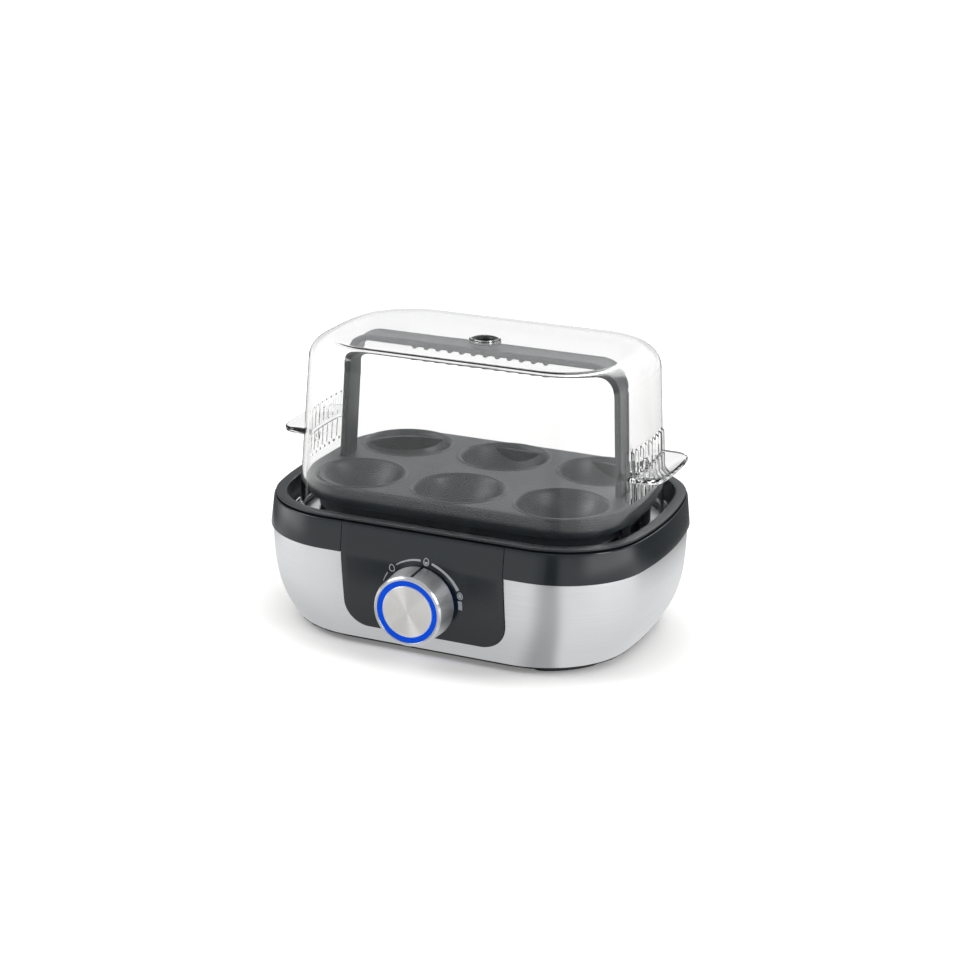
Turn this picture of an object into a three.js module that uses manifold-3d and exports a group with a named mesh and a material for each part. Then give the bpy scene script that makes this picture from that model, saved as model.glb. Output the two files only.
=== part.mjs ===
// Six-egg boiler: a steel-skirted base with a lit dial, a steel water pan over a heater,
// a lift-out egg tray with a bow handle, and a clear hood with a steam vent.
// Millimetres, +Z up, front towards -Y. The pieces are built about the middle of the body, and
// the whole is then moved back, so that the origin lies on the table under the middle of the
// footprint, dial included.
import * as THREE from 'three';
import { mergeVertices } from 'three/addons/utils/BufferGeometryUtils.js';
import Module from 'manifold-3d';

const wasm = await Module();
wasm.setup();

// Clearances and counts
const gap = 0.3; // between neighbouring pieces
const overrun = 2; // how far a cut runs past what it cuts
const weldDistance = 0.0005; // points nearer than this are one point
const bowSteps = 2;
const cornerSteps = 6;
const largeRoundSteps = 32;
const mediumRoundSteps = 20;
const smallRoundSteps = 10;
const screwSides = 8;
const arcSteps = 7;
const smallArcSteps = 4;
const wireSides = 8;
const nutSides = 6;
const glandSides = 14;

// Body: the outside of the band, and of the panel and skirt below it
const body = {
  halfLength: 94,
  halfWidth: 67.8,
  endRadius: 190,
  cornerRadius: 42.2,
  bandTop: 61.5,
  bandHeight: 14.2,
  bandFlare: 1.6,
  skirtBottom: 3.8,
  endTuck: 10.1,
  sideTuck: 6.7,
  endCurveShare: 3.68,
  sideCurveShare: 1.2,
  levelShares: [0, 0.06, 0.12, 0.24, 0.4, 0.64, 1],
};

// Steel skirt, dark band and the frame inside them
const skirt = { step: 1, sheet: 0.8, tuckHeight: 6 };
const band = { thickness: 3, edge: 0.6 };
const frame = {
  lipGroove: 0.8,
  lipThickness: 1,
  lipInset: 0.7,
  lipEdge: 0.6,
  rimWidth: 6,
  ledgeTop: 51.2,
  ledgeThickness: 2.2,
  ledgeInset: 21.4,
  pillarRadius: 3.6,
  pillarEndInset: 19,
  pillarSideInset: 41.8,
};

// Control panel at the front, and the dial's axis through it
const panel = { halfWidth: 39.8, bottom: 11, cornerRadius: 12, thickness: 2.4, shaftClearance: 0.6 };
const dialHeight = 29.7;

// Base plate, feet and screws
const base = {
  bottom: 2.6,
  floorThickness: 2.4,
  edgeInset: 0.4,
  edgeChamfer: 1,
  wallLevels: 3,
  wallThickness: 1.6,
  screwBossRadius: 5.2,
  screwBossTop: 7,
  postRadius: 3.2,
  postTop: 9,
  slotWidth: 3,
  slotLength: 36,
  slotPitch: 7,
  slotStart: 20,
  slotCount: 5,
};
const foot = { edgeInset: 6.3, width: 12, spanDegrees: [31, 68] };
const screw = { headRadius: 2.9, headHeight: 1.5, shankRadius: 1.5, reach: 10 };
const smallScrew = { headRadius: 2.1, headHeight: 1.2, shankRadius: 1.1, reach: 3 };

// Water pan, its seal and its screws
const pan = {
  sheet: 0.8,
  flangeInset: 6.6,
  beadInset: 8.6,
  beadHalfWidth: 0.9,
  beadHeight: 1,
  bowlInset: 22.3,
  bowlFloor: 38,
  bowlRound: 2.6,
};
const seal = { thickness: 0.8, width: 4.4 };
const panScrewInset = 9;

// Heater under the pan
const heater = {
  plateInset: 5.5,
  plateThickness: 2.2,
  tubeRadius: 3.3,
  ringInset: 10,
  tailSpacing: 15.6,
  steps: 32,
};
const thermostat = { radius: 8.5, height: 6.5, capRadius: 5, capHeight: 3 };
const fuse = { radius: 2, length: 12 };
const sensor = { radius: 2.4, tipRadius: 1.4, height: 8 };

// Mains board on the base plate, with its components
const board = { thickness: 1.6, left: -60, right: 0, halfWidth: 24, screwMargin: 3.2 };
const relay = { length: 19, width: 15.5, height: 14.5, x: -46, y: -10 };
const transformer = { length: 22, width: 20, height: 14, x: -22, y: -9 };
const capacitor = { radius: 6, height: 13.5, x: -44, y: 11 };
const buzzer = { radius: 6, height: 7, x: -16, y: 13 };
const terminal = { length: 26, width: 10, height: 12.5, backInset: 21.8 };
const lead = { radius: 1.3, sweep: 4, riseShare: 0.35, steps: 10 };

// Cord gland in the back of the skirt
const gland = {
  height: 18,
  boreRadius: 3.3,
  neckRadius: 5,
  flangeRadius: 7,
  flangeThickness: 2.4,
  nutThickness: 3,
};

// Dial: metal shell, lit core, hollow shaft, index line and push button
const dial = {
  standOut: 15.4,
  panelClearance: 2.1,
  frontRadius: 16.4,
  backRadius: 17.2,
  edge: 0.5,
  wall: 1.5,
  lipDepth: 1.2,
  lightOuter: 14.4,
  lightInner: 12.4,
  lightSunk: 0.3,
  buttonRadius: 12.1,
  buttonSunk: 0.2,
  buttonThickness: 2,
  buttonTravel: 1.2,
  webThickness: 1.8,
  hubRadius: 5.3,
  shaftRadius: 3,
  shaftBore: 1.8,
  stemRadius: 1.4,
  skirtThickness: 1.8,
  indexWidth: 1,
  indexDepth: 0.8,
  indexDegrees: 5,
};

// Control electronics behind the panel
const control = {
  boardInset: 11.8,
  boardThickness: 1.6,
  boardHalfWidth: 21,
  boardHalfHeight: 12,
  encoderHalf: 6.5,
  encoderThickness: 6.3,
  ledRing: 11,
  ledRadius: 1.5,
  ledLength: 6.6,
  ledHoleClearance: 0.4,
  switchHalf: 3,
  switchThickness: 3.4,
  bracketInset: 20.5,
  bracketThickness: 1.8,
  bracketHalfWidth: 20,
  bracketTop: 42,
  bracketFoot: 10,
  standoffRadius: 2.6,
  standoffX: 17,
  standoffZ: 8,
};

// Eggs that the tray is made for, and their places
const egg = {
  radiusShare: 0.42,
  waistHeight: 24,
  waistZ: 80.5,
  columnShare: 0.6375,
  rowShare: 1.0614,
  columns: 3,
  rows: 2,
  seatSteps: 2,
};

// Egg tray and its handle
const tray = {
  endInset: 4.2,
  sideInset: 3.5,
  bowInset: 4,
  cornerInset: 2.5,
  top: 71.3,
  bottom: 62.3,
  edge: 1.6,
  lowerEdge: 0.8,
  wall: 2.2,
  cupWall: 1.6,
  cupBottom: 60,
  skirtInset: 5,
  skirtBottom: 56.2,
  footRadius: 2.2,
  footInset: 3.7,
  footY: 14,
  socketWall: 1.9,
  socketBottom: 61,
};
const handle = {
  top: 131.4,
  endInset: 7.4,
  lean: 2.9,
  bottom: 62.6,
  width: 14,
  thickness: 3,
  bendRadius: 14,
  toothCount: 12,
  toothPitch: 6,
  toothWidth: 2.8,
  toothHeight: 1,
};

// Clear hood, its end tabs, grip ribs and vent
const hood = {
  endInset: 9.8,
  sideInset: 13.8,
  endLean: 4.4,
  sideLean: 4,
  bowInset: 10,
  cornerInset: 6.7,
  top: 136,
  wall: 2,
  shoulder: 10,
  shoulderSteps: 5,
};
const tab = { z: 84.7, thickness: 2.5, halfWidth: 24, standOut: 12.1, endRadius: 150, cornerRadius: 8 };
const rib = { count: 9, pitch: 5.2, thickness: 1.5, depth: 1.4, bottom: 73.8, top: 98.4, tipDrop: 1.1 };
const vent = {
  collarRadius: 7.4,
  collarHeight: 0.4,
  bushRadius: 5.9,
  boreRadius: 3.8,
  flangeRadius: 7.6,
  flangeThickness: 1.2,
};

// Places and outline sizes that follow from the body, each inside the one before
const pillarX = body.halfLength - frame.pillarEndInset;
const pillarY = body.halfWidth - frame.pillarSideInset;
const dialFace = body.halfWidth + dial.standOut;
const dialBack = body.halfWidth + dial.panelClearance;
const boardFront = body.halfWidth - control.boardInset;
const bracketBack = body.halfWidth - control.bracketInset;
const terminalY = body.halfWidth - terminal.backInset;
const plateRadius = body.halfWidth - pan.bowlInset - heater.plateInset;
const elementRadius = plateRadius - heater.ringInset;
const sensorReach = (thermostat.radius + elementRadius - heater.tubeRadius) / 2;
const hoodHalfLength = body.halfLength - hood.endInset;
const hoodHalfWidth = body.halfWidth - hood.sideInset;
const hoodEndRadius = body.endRadius - hood.bowInset;
const hoodCornerRadius = body.cornerRadius - hood.cornerInset;
const trayHalfLength = hoodHalfLength - tray.endInset;
const trayHalfWidth = hoodHalfWidth - tray.sideInset;
const trayEndRadius = hoodEndRadius - tray.bowInset;
const trayCornerRadius = hoodCornerRadius - tray.cornerInset;
const trayFootX = trayHalfLength - tray.footInset;
const handleHalfLength = trayHalfLength - handle.endInset;
const barHalfLength = handleHalfLength - handle.lean;
const footprintShift = (dialFace - body.halfWidth - body.bandFlare) / 2;
const columnPitch = trayHalfLength * egg.columnShare;
const rowPitch = trayHalfWidth * egg.rowShare;
const eggWaist = rowPitch * egg.radiusShare;

// Heights that several pieces share
const bandBottom = body.bandTop - body.bandHeight;
const skirtHeight = bandBottom - body.skirtBottom;
const bodyLevels = body.levelShares.map((share) => body.skirtBottom + share * skirtHeight);
const baseWallLevels = bodyLevels.slice(0, base.wallLevels);
const skirtTop = bandBottom + skirt.tuckHeight;
const lipTop = body.bandTop + frame.lipGroove + frame.lipThickness;
const floorTop = base.bottom + base.floorThickness;
const sealTop = frame.ledgeTop + gap + seal.thickness;
const flangeBottom = sealTop + gap;
const flangeTop = flangeBottom + pan.sheet;
const heaterPlateTop = pan.bowlFloor - pan.sheet - gap;
const heaterPlateBottom = heaterPlateTop - heater.plateThickness;
const heaterUnderside = heaterPlateBottom - gap;
const boardBottom = base.postTop + gap;
const boardTop = boardBottom + board.thickness;
const trayRest = flangeTop + gap;
const hoodBottom = flangeTop + pan.beadHeight + gap;

// Meshes and solids

// Merges shared points, drops flat triangles and turns the faces outwards.
function tidy(geometry) {
  geometry.deleteAttribute('normal');
  geometry.deleteAttribute('uv');
  const merged = mergeVertices(geometry, weldDistance);
  const points = merged.attributes.position;
  const index = merged.index.array;
  const corners = [new THREE.Vector3(), new THREE.Vector3(), new THREE.Vector3()];
  const kept = [];
  let volume = 0;
  for (let k = 0; k < index.length; k += 3) {
    const face = [index[k], index[k + 1], index[k + 2]];
    if (new Set(face).size === 3) {
      face.forEach((point, n) => corners[n].fromBufferAttribute(points, point));
      volume += corners[0].dot(corners[1].cross(corners[2]));
      kept.push(face);
    }
  }
  const faces = volume < 0 ? kept.map(([a, b, c]) => [a, c, b]) : kept;
  merged.setIndex(faces.flat());
  return merged;
}

function solid(geometry) {
  const plain = tidy(geometry);
  const mesh = new wasm.Mesh({
    numProp: 3,
    vertProperties: new Float32Array(plain.attributes.position.array),
    triVerts: new Uint32Array(plain.index.array),
  });
  return new wasm.Manifold(mesh);
}

function join(first, ...others) {
  return others.reduce((whole, piece) => whole.add(piece), first);
}

function cut(whole, ...tools) {
  return tools.reduce((left, tool) => left.subtract(tool), whole);
}

function geometryOf(shape) {
  const mesh = shape.getMesh();
  const geometry = new THREE.BufferGeometry();
  geometry.setAttribute('position', new THREE.BufferAttribute(new Float32Array(mesh.vertProperties), 3));
  geometry.setIndex([...mesh.triVerts]);
  geometry.computeVertexNormals();
  return geometry;
}

// Plain shapes

function box(x0, x1, y0, y1, z0, z1) {
  const geometry = new THREE.BoxGeometry(x1 - x0, y1 - y0, z1 - z0);
  return solid(geometry.translate((x0 + x1) / 2, (y0 + y1) / 2, (z0 + z1) / 2));
}

function uprightCylinder(radius, z0, z1, x, y, steps = smallRoundSteps) {
  const geometry = new THREE.CylinderGeometry(radius, radius, z1 - z0, steps).rotateX(Math.PI / 2);
  return solid(geometry.translate(x, y, (z0 + z1) / 2));
}

// A cylinder along Y between two places behind or ahead of the front.
function levelCylinder(radius, y0, y1, x, z, steps = smallRoundSteps) {
  const geometry = new THREE.CylinderGeometry(radius, radius, y1 - y0, steps);
  return solid(geometry.translate(x, (y0 + y1) / 2, z));
}

// Turns a closed profile of [radius, height] about an upright axis.
function turnedUpright(profile, x, y, steps = smallRoundSteps) {
  const points = [...profile, profile[0]].map(([radius, z]) => new THREE.Vector2(radius, z));
  return solid(new THREE.LatheGeometry(points, steps).rotateX(Math.PI / 2).translate(x, y, 0));
}

// Turns a closed profile of [radius, distance along Y] about a level axis.
function turnedLevel(profile, x, z, steps = largeRoundSteps) {
  const points = [...profile, profile[0]].map(([radius, y]) => new THREE.Vector2(radius, y));
  return solid(new THREE.LatheGeometry(points, steps).translate(x, 0, z));
}

// Extrudes an outline in plan upwards.
function uprightPrism(shape, z0, z1, steps = arcSteps) {
  const geometry = new THREE.ExtrudeGeometry(shape, {
    depth: z1 - z0,
    bevelEnabled: false,
    curveSegments: steps,
  });
  return solid(geometry.translate(0, 0, z0));
}

// Extrudes an outline of [x, z] along Y.
function levelPrism(shape, y0, y1) {
  const geometry = new THREE.ExtrudeGeometry(shape, {
    depth: y1 - y0,
    bevelEnabled: false,
    curveSegments: arcSteps,
  });
  return solid(geometry.rotateX(Math.PI / 2).translate(0, y1, 0));
}

function tube(curve, radius, steps) {
  const section = new THREE.Shape();
  section.absarc(0, 0, radius, 0, Math.PI * 2);
  const sides = section.getPoints(wireSides / 2).slice(0, wireSides);
  const geometry = new THREE.ExtrudeGeometry(new THREE.Shape(sides), {
    steps,
    extrudePath: curve,
    bevelEnabled: false,
  });
  return solid(geometry);
}

// Outlines and lofts

// The centre of a rounded rectangle's corner, where the bowed end and the straight side meet.
function cornerCentre(halfLength, halfWidth, endRadius, cornerRadius) {
  const cornerY = halfWidth - cornerRadius;
  const reach = endRadius - cornerRadius;
  return [halfLength - endRadius + Math.sqrt(reach * reach - cornerY * cornerY), cornerY];
}

// A rounded rectangle with straight sides, slightly bowed ends and round corners.
function roundedOutline(halfLength, halfWidth, endRadius, cornerRadius) {
  const bowCentre = halfLength - endRadius;
  const [cornerX, cornerY] = cornerCentre(halfLength, halfWidth, endRadius, cornerRadius);
  const bowAngle = Math.atan2(cornerY, cornerX - bowCentre);
  const quarter = [];
  for (let k = 0; k <= bowSteps; k++) {
    const angle = (bowAngle * k) / bowSteps;
    quarter.push([bowCentre + endRadius * Math.cos(angle), endRadius * Math.sin(angle)]);
  }
  for (let k = 1; k <= cornerSteps; k++) {
    const angle = bowAngle + ((Math.PI / 2 - bowAngle) * k) / cornerSteps;
    quarter.push([cornerX + cornerRadius * Math.cos(angle), cornerY + cornerRadius * Math.sin(angle)]);
  }
  const back = [...quarter].reverse();
  return [
    ...quarter,
    ...back.map(([x, y]) => [-x, y]),
    ...quarter.slice(1).map(([x, y]) => [-x, -y]),
    ...back.slice(0, -1).map(([x, y]) => [x, -y]),
  ];
}

// Joins outlines at successive heights; a closed profile makes a ring, an open one gets two end caps.
function skin(outlineAt, profile, closed) {
  const rows = profile.map(([inset, z]) => outlineAt(z, inset).map(([x, y]) => [x, y, z]));
  const count = rows[0].length;
  const faces = [];
  const lastRow = closed ? rows.length : rows.length - 1;
  for (let row = 0; row < lastRow; row++) {
    const next = (row + 1) % rows.length;
    for (let k = 0; k < count; k++) {
      const [a, b] = [row * count + k, row * count + ((k + 1) % count)];
      const [c, d] = [next * count + k, next * count + ((k + 1) % count)];
      faces.push(a, b, d, a, d, c);
    }
  }
  if (!closed) {
    const top = lastRow * count;
    for (let k = 1; k < count - 1; k++) {
      faces.push(0, k + 1, k, top, top + k, top + k + 1);
    }
  }
  const geometry = new THREE.BufferGeometry();
  geometry.setAttribute('position', new THREE.Float32BufferAttribute(rows.flat(2), 3));
  geometry.setIndex(faces);
  return solid(geometry);
}

const ring = (outlineAt, profile) => skin(outlineAt, profile, true);
const loft = (outlineAt, profile) => skin(outlineAt, profile, false);

function heights(from, to, steps) {
  return Array.from({ length: steps + 1 }, (_, k) => from + ((to - from) * k) / steps);
}

// A wall between two insets that passes through the given heights.
function wallProfile(outerInset, innerInset, levels) {
  return [
    ...levels.map((z) => [outerInset, z]),
    ...[...levels].reverse().map((z) => [innerInset, z]),
  ];
}

const clampShare = (share) => Math.min(Math.max(share, 0), 1);

function bodyGrowth(z, inset) {
  return body.bandFlare * clampShare((body.bandTop - z) / body.bandHeight) - inset;
}

function skirtDrop(z) {
  return clampShare((bandBottom - z) / skirtHeight);
}

// How far the front or back of the body reaches at a height.
function sideReach(z, inset) {
  return body.halfWidth + bodyGrowth(z, inset) - body.sideTuck * skirtDrop(z) ** body.sideCurveShare;
}

function bodySection(z, inset) {
  const grow = bodyGrowth(z, inset);
  const endReach = body.halfLength + grow - body.endTuck * skirtDrop(z) ** body.endCurveShare;
  return [endReach, sideReach(z, inset), body.endRadius + grow, body.cornerRadius + grow];
}

const bodyOutline = (z, inset) => roundedOutline(...bodySection(z, inset));

function rimOutline(z, inset) {
  return roundedOutline(
    body.halfLength - inset,
    body.halfWidth - inset,
    body.endRadius - inset,
    body.cornerRadius - inset,
  );
}

function trayOutline(z, inset) {
  return roundedOutline(
    trayHalfLength - inset,
    trayHalfWidth - inset,
    trayEndRadius - inset,
    trayCornerRadius - inset,
  );
}

const hoodRise = (z) => (z - hoodBottom) / (hood.top - hoodBottom);

const hoodEnd = (z) => hoodHalfLength - hood.endLean * hoodRise(z);
const hoodSide = (z) => hoodHalfWidth - hood.sideLean * hoodRise(z);

function hoodOutline(z, inset) {
  return roundedOutline(
    hoodEnd(z) - inset,
    hoodSide(z) - inset,
    hoodEndRadius - inset,
    hoodCornerRadius - inset,
  );
}

function signs() {
  return [
    [-1, -1],
    [1, -1],
    [-1, 1],
    [1, 1],
  ];
}

// Shell of the base

// The panel's front view, open at the top, grown by a margin.
function panelShape(margin, top) {
  const half = panel.halfWidth + margin;
  const bottom = panel.bottom - margin;
  const radius = panel.cornerRadius + margin;
  const shape = new THREE.Shape();
  shape.moveTo(half, top);
  shape.lineTo(-half, top);
  shape.absarc(-half + radius, bottom + radius, radius, Math.PI, Math.PI * 1.5);
  shape.absarc(half - radius, bottom + radius, radius, Math.PI * 1.5, Math.PI * 2);
  return shape;
}

const frontmost = body.halfWidth + body.bandFlare + overrun;

function panelWindow() {
  return levelPrism(panelShape(gap, body.bandTop + overrun), -frontmost, -dishFront());
}

// The foremost place of the pan's bowl, which the panel stays ahead of.
function dishFront() {
  return body.halfWidth - pan.bowlInset;
}

function steelSkirt() {
  const inner = skirt.step + skirt.sheet;
  const shell = ring(bodyOutline, wallProfile(skirt.step, inner, [...bodyLevels, skirtTop]));
  const cordHole = levelCylinder(
    gland.neckRadius + gap,
    dishFront(),
    frontmost,
    0,
    gland.height,
    glandSides,
  );
  return cut(shell, panelWindow(), cordHole);
}

function outerBand() {
  const lower = skirt.step - gap;
  const shell = ring(bodyOutline, [
    [0, bandBottom],
    [0, body.bandTop - band.edge],
    [band.edge, body.bandTop],
    [band.thickness, body.bandTop],
    [band.thickness, skirtTop + gap],
    [lower, skirtTop + gap],
    [lower, bandBottom],
  ]);
  return cut(shell, panelWindow());
}

function topFrame() {
  const lipBottom = body.bandTop + frame.lipGroove;
  const wallInset = band.thickness + gap;
  const ledgeBottom = frame.ledgeTop - frame.ledgeThickness;
  const shell = ring(rimOutline, [
    [frame.lipInset, lipBottom],
    [frame.lipInset, lipTop - frame.lipEdge],
    [frame.lipInset + frame.lipEdge, lipTop],
    [frame.rimWidth - frame.lipEdge, lipTop],
    [frame.rimWidth, lipTop - frame.lipEdge],
    [frame.rimWidth, frame.ledgeTop],
    [frame.ledgeInset, frame.ledgeTop],
    [frame.ledgeInset, ledgeBottom],
    [wallInset, ledgeBottom],
    [wallInset, lipBottom],
  ]);
  const pillarBottom = base.screwBossTop + gap;
  const holeTop = screwHeadTop() + screw.reach + gap;
  const pillars = signs().map(([sx, sy]) =>
    uprightCylinder(
      frame.pillarRadius,
      pillarBottom,
      frame.ledgeTop - frame.ledgeThickness / 2,
      sx * pillarX,
      sy * pillarY,
    ),
  );
  const holes = signs().map(([sx, sy]) =>
    uprightCylinder(
      screw.shankRadius + gap,
      pillarBottom - overrun,
      holeTop,
      sx * pillarX,
      sy * pillarY,
    ),
  );
  const panHoles = panScrewPlaces().map(([x, y]) =>
    uprightCylinder(screw.shankRadius + gap, ledgeBottom - overrun, frame.ledgeTop + overrun, x, y),
  );
  return cut(join(shell, ...pillars), ...holes, ...panHoles);
}

function controlPanel() {
  const wall = ring(bodyOutline, [
    ...bodyLevels.map((z) => [0, z]),
    [0, body.bandTop - band.edge],
    [band.edge, body.bandTop],
    [panel.thickness, body.bandTop],
    ...[...bodyLevels].reverse().map((z) => [panel.thickness, z]),
  ]);
  const front = levelPrism(panelShape(0, body.bandTop + overrun), -frontmost, -dishFront());
  const shaftHole = levelCylinder(
    dial.shaftRadius + panel.shaftClearance,
    -frontmost,
    -dishFront(),
    0,
    dialHeight,
  );
  const lightHoles = ledPlaces().map(([x, z]) =>
    levelCylinder(control.ledRadius + control.ledHoleClearance, -frontmost, -dishFront(), x, z),
  );
  return cut(wall.intersect(front), shaftHole, ...lightHoles);
}

// Base plate, feet and fasteners

const screwHeadTop = () => base.bottom + gap + screw.headHeight;

const boardScrewPlaces = () => {
  const x0 = board.left + board.screwMargin;
  const x1 = board.right - board.screwMargin;
  const y = board.halfWidth - board.screwMargin;
  return [
    [x0, -y],
    [x1, -y],
    [x0, y],
    [x1, y],
  ];
};

function slotShape(x) {
  const half = base.slotWidth / 2;
  const straight = base.slotLength / 2 - half;
  const shape = new THREE.Shape();
  shape.absarc(x, straight, half, 0, Math.PI);
  shape.absarc(x, -straight, half, Math.PI, Math.PI * 2);
  return shape;
}

function basePlate() {
  const edge = skirt.step + base.edgeInset;
  const wallOuter = skirt.step + skirt.sheet + gap;
  const wallInner = wallOuter + base.wallThickness;
  const rimTop = body.skirtBottom - gap;
  const plate = loft(bodyOutline, [
    [edge + base.edgeChamfer, base.bottom],
    [edge, (base.bottom + rimTop) / 2],
    [edge, rimTop],
    [wallOuter, rimTop],
    ...baseWallLevels.map((z) => [wallOuter, z]),
    ...[...baseWallLevels.slice(1)].reverse().map((z) => [wallInner, z]),
    [wallInner, floorTop],
  ]);
  const bosses = signs().map(([sx, sy]) =>
    uprightCylinder(
      base.screwBossRadius,
      base.bottom + base.floorThickness / 2,
      base.screwBossTop,
      sx * pillarX,
      sy * pillarY,
    ),
  );
  const recesses = signs().flatMap(([sx, sy]) => [
    uprightCylinder(
      screw.headRadius + gap,
      base.bottom - overrun,
      screwHeadTop() + gap,
      sx * pillarX,
      sy * pillarY,
    ),
    uprightCylinder(
      screw.shankRadius + gap,
      base.bottom,
      base.screwBossTop + overrun,
      sx * pillarX,
      sy * pillarY,
    ),
  ]);
  const posts = boardScrewPlaces().map(([x, y]) =>
    uprightCylinder(base.postRadius, base.bottom + base.floorThickness / 2, base.postTop, x, y),
  );
  const postHoles = boardScrewPlaces().map(([x, y]) =>
    uprightCylinder(
      smallScrew.shankRadius + gap,
      boardTop - board.thickness - gap - smallScrew.reach,
      base.postTop + overrun,
      x,
      y,
    ),
  );
  const slots = Array.from({ length: base.slotCount }, (_, k) =>
    uprightPrism(
      slotShape(base.slotStart + k * base.slotPitch),
      base.bottom - overrun,
      floorTop + overrun,
      smallArcSteps,
    ),
  );
  return cut(join(plate, ...bosses, ...posts), ...recesses, ...postHoles, ...slots);
}

// A curved pad with round ends, which follows the base's corner inside its bottom edge.
function footPad(sx, sy) {
  const section = bodySection(body.skirtBottom, 0);
  const [x, y] = cornerCentre(...section);
  const half = foot.width / 2;
  const middle = section.at(-1) - foot.edgeInset - half;
  const [first, last] = foot.spanDegrees.map(THREE.MathUtils.degToRad);
  const about = (angle, radius) => [x + radius * Math.cos(angle), y + radius * Math.sin(angle)];
  const roundEnd = (angle, from) =>
    heights(from, from + Math.PI, arcSteps)
      .slice(1, -1)
      .map((turn) => {
        const [endX, endY] = about(angle, middle);
        return [endX + half * Math.cos(turn), endY + half * Math.sin(turn)];
      });
  const outline = [
    ...heights(first, last, arcSteps).map((angle) => about(angle, middle + half)),
    ...roundEnd(last, last),
    ...heights(last, first, arcSteps).map((angle) => about(angle, middle - half)),
    ...roundEnd(first, first + Math.PI),
  ];
  const shape = new THREE.Shape(outline.map(([px, py]) => new THREE.Vector2(sx * px, sy * py)));
  return uprightPrism(shape, 0, base.bottom - gap);
}

// A headed screw that points up; head and shank are one turned piece.
function risingScrew(sizes, headBottom, x, y) {
  const headTop = headBottom + sizes.headHeight;
  const tip = headTop + sizes.reach;
  return turnedUpright(
    [
      [0, headBottom],
      [sizes.headRadius, headBottom],
      [sizes.headRadius, headTop],
      [sizes.shankRadius, headTop],
      [sizes.shankRadius, tip - sizes.shankRadius],
      [0, tip],
    ],
    x,
    y,
    screwSides,
  );
}

// A headed screw that points down through a board into its post.
function fallingScrew(sizes, headBottom, x, y) {
  const headTop = headBottom + sizes.headHeight;
  const tip = headBottom - board.thickness - sizes.reach;
  return turnedUpright(
    [
      [0, headTop],
      [sizes.headRadius, headTop],
      [sizes.headRadius, headBottom],
      [sizes.shankRadius, headBottom],
      [sizes.shankRadius, tip + sizes.shankRadius],
      [0, tip],
    ],
    x,
    y,
    screwSides,
  );
}

// Water pan and heater

function panScrewPlaces() {
  const x = body.halfLength - panScrewInset;
  const y = body.halfWidth - panScrewInset;
  return [
    [-x, 0],
    [x, 0],
    [0, -y],
    [0, y],
  ];
}

function panSeal() {
  const bottom = frame.ledgeTop + gap;
  const inner = pan.flangeInset + seal.width;
  const band = ring(rimOutline, [
    [pan.flangeInset, bottom],
    [pan.flangeInset, sealTop],
    [inner, sealTop],
    [inner, bottom],
  ]);
  const holes = panScrewPlaces().map(([x, y]) =>
    uprightCylinder(screw.shankRadius + gap, bottom - overrun, sealTop + overrun, x, y),
  );
  return cut(band, ...holes);
}

function heatingPan() {
  const inside = pan.bowlInset + pan.sheet;
  const beadTop = flangeTop + pan.beadHeight;
  const floorBottom = pan.bowlFloor - pan.sheet;
  return loft(rimOutline, [
    [pan.bowlInset + pan.bowlRound, floorBottom],
    [pan.bowlInset, floorBottom + pan.bowlRound],
    [pan.bowlInset, flangeBottom],
    [pan.flangeInset, flangeBottom],
    [pan.flangeInset, flangeTop],
    [pan.beadInset - pan.beadHalfWidth, flangeTop],
    [pan.beadInset - pan.beadHalfWidth / 2, beadTop - pan.beadHeight / 4],
    [pan.beadInset, beadTop],
    [pan.beadInset + pan.beadHalfWidth / 2, beadTop - pan.beadHeight / 4],
    [pan.beadInset + pan.beadHalfWidth, flangeTop],
    [inside, flangeTop],
    [inside, pan.bowlFloor + pan.bowlRound],
    [inside + pan.bowlRound, pan.bowlFloor],
  ]);
}

function heatSpreader() {
  return uprightCylinder(plateRadius, heaterPlateBottom, heaterPlateTop, 0, 0, largeRoundSteps);
}

function heatingElement() {
  const z = heaterUnderside - heater.tubeRadius;
  const half = heater.tailSpacing / 2;
  const open = Math.asin((half + heater.tubeRadius) / elementRadius);
  const loop = heights(Math.PI / 2 - open, open - Math.PI * 1.5, largeRoundSteps / 2);
  const bend = elementRadius + heater.tubeRadius;
  const round = (angle) =>
    new THREE.Vector3(elementRadius * Math.cos(angle), elementRadius * Math.sin(angle), z);
  const points = [
    new THREE.Vector3(half, plateRadius, z),
    new THREE.Vector3(half, bend, z),
    ...loop.map(round),
    new THREE.Vector3(-half, bend, z),
    new THREE.Vector3(-half, plateRadius, z),
  ];
  return tube(new THREE.CatmullRomCurve3(points), heater.tubeRadius, heater.steps);
}

function thermostatBody() {
  const top = heaterUnderside;
  const middle = top - thermostat.height;
  return turnedUpright(
    [
      [0, top],
      [thermostat.radius, top],
      [thermostat.radius, middle],
      [thermostat.capRadius, middle],
      [thermostat.capRadius, middle - thermostat.capHeight],
      [0, middle - thermostat.capHeight],
    ],
    0,
    0,
    mediumRoundSteps,
  );
}

function thermalFuse() {
  const geometry = new THREE.CylinderGeometry(fuse.radius, fuse.radius, fuse.length, smallRoundSteps);
  const z = heaterUnderside - fuse.radius;
  return solid(geometry.rotateZ(Math.PI / 2).translate(0, sensorReach, z));
}

function temperatureSensor() {
  return turnedUpright(
    [
      [0, heaterUnderside],
      [sensor.tipRadius, heaterUnderside],
      [sensor.radius, heaterUnderside - sensor.tipRadius],
      [sensor.radius, heaterUnderside - sensor.height],
      [0, heaterUnderside - sensor.height],
    ],
    0,
    -sensorReach,
  );
}

// Mains electronics

function mainsBoard() {
  const plate = box(board.left, board.right, -board.halfWidth, board.halfWidth, boardBottom, boardTop);
  const holes = boardScrewPlaces().map(([x, y]) =>
    uprightCylinder(smallScrew.shankRadius + gap, boardBottom - overrun, boardTop + overrun, x, y),
  );
  return cut(plate, ...holes);
}

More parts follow.
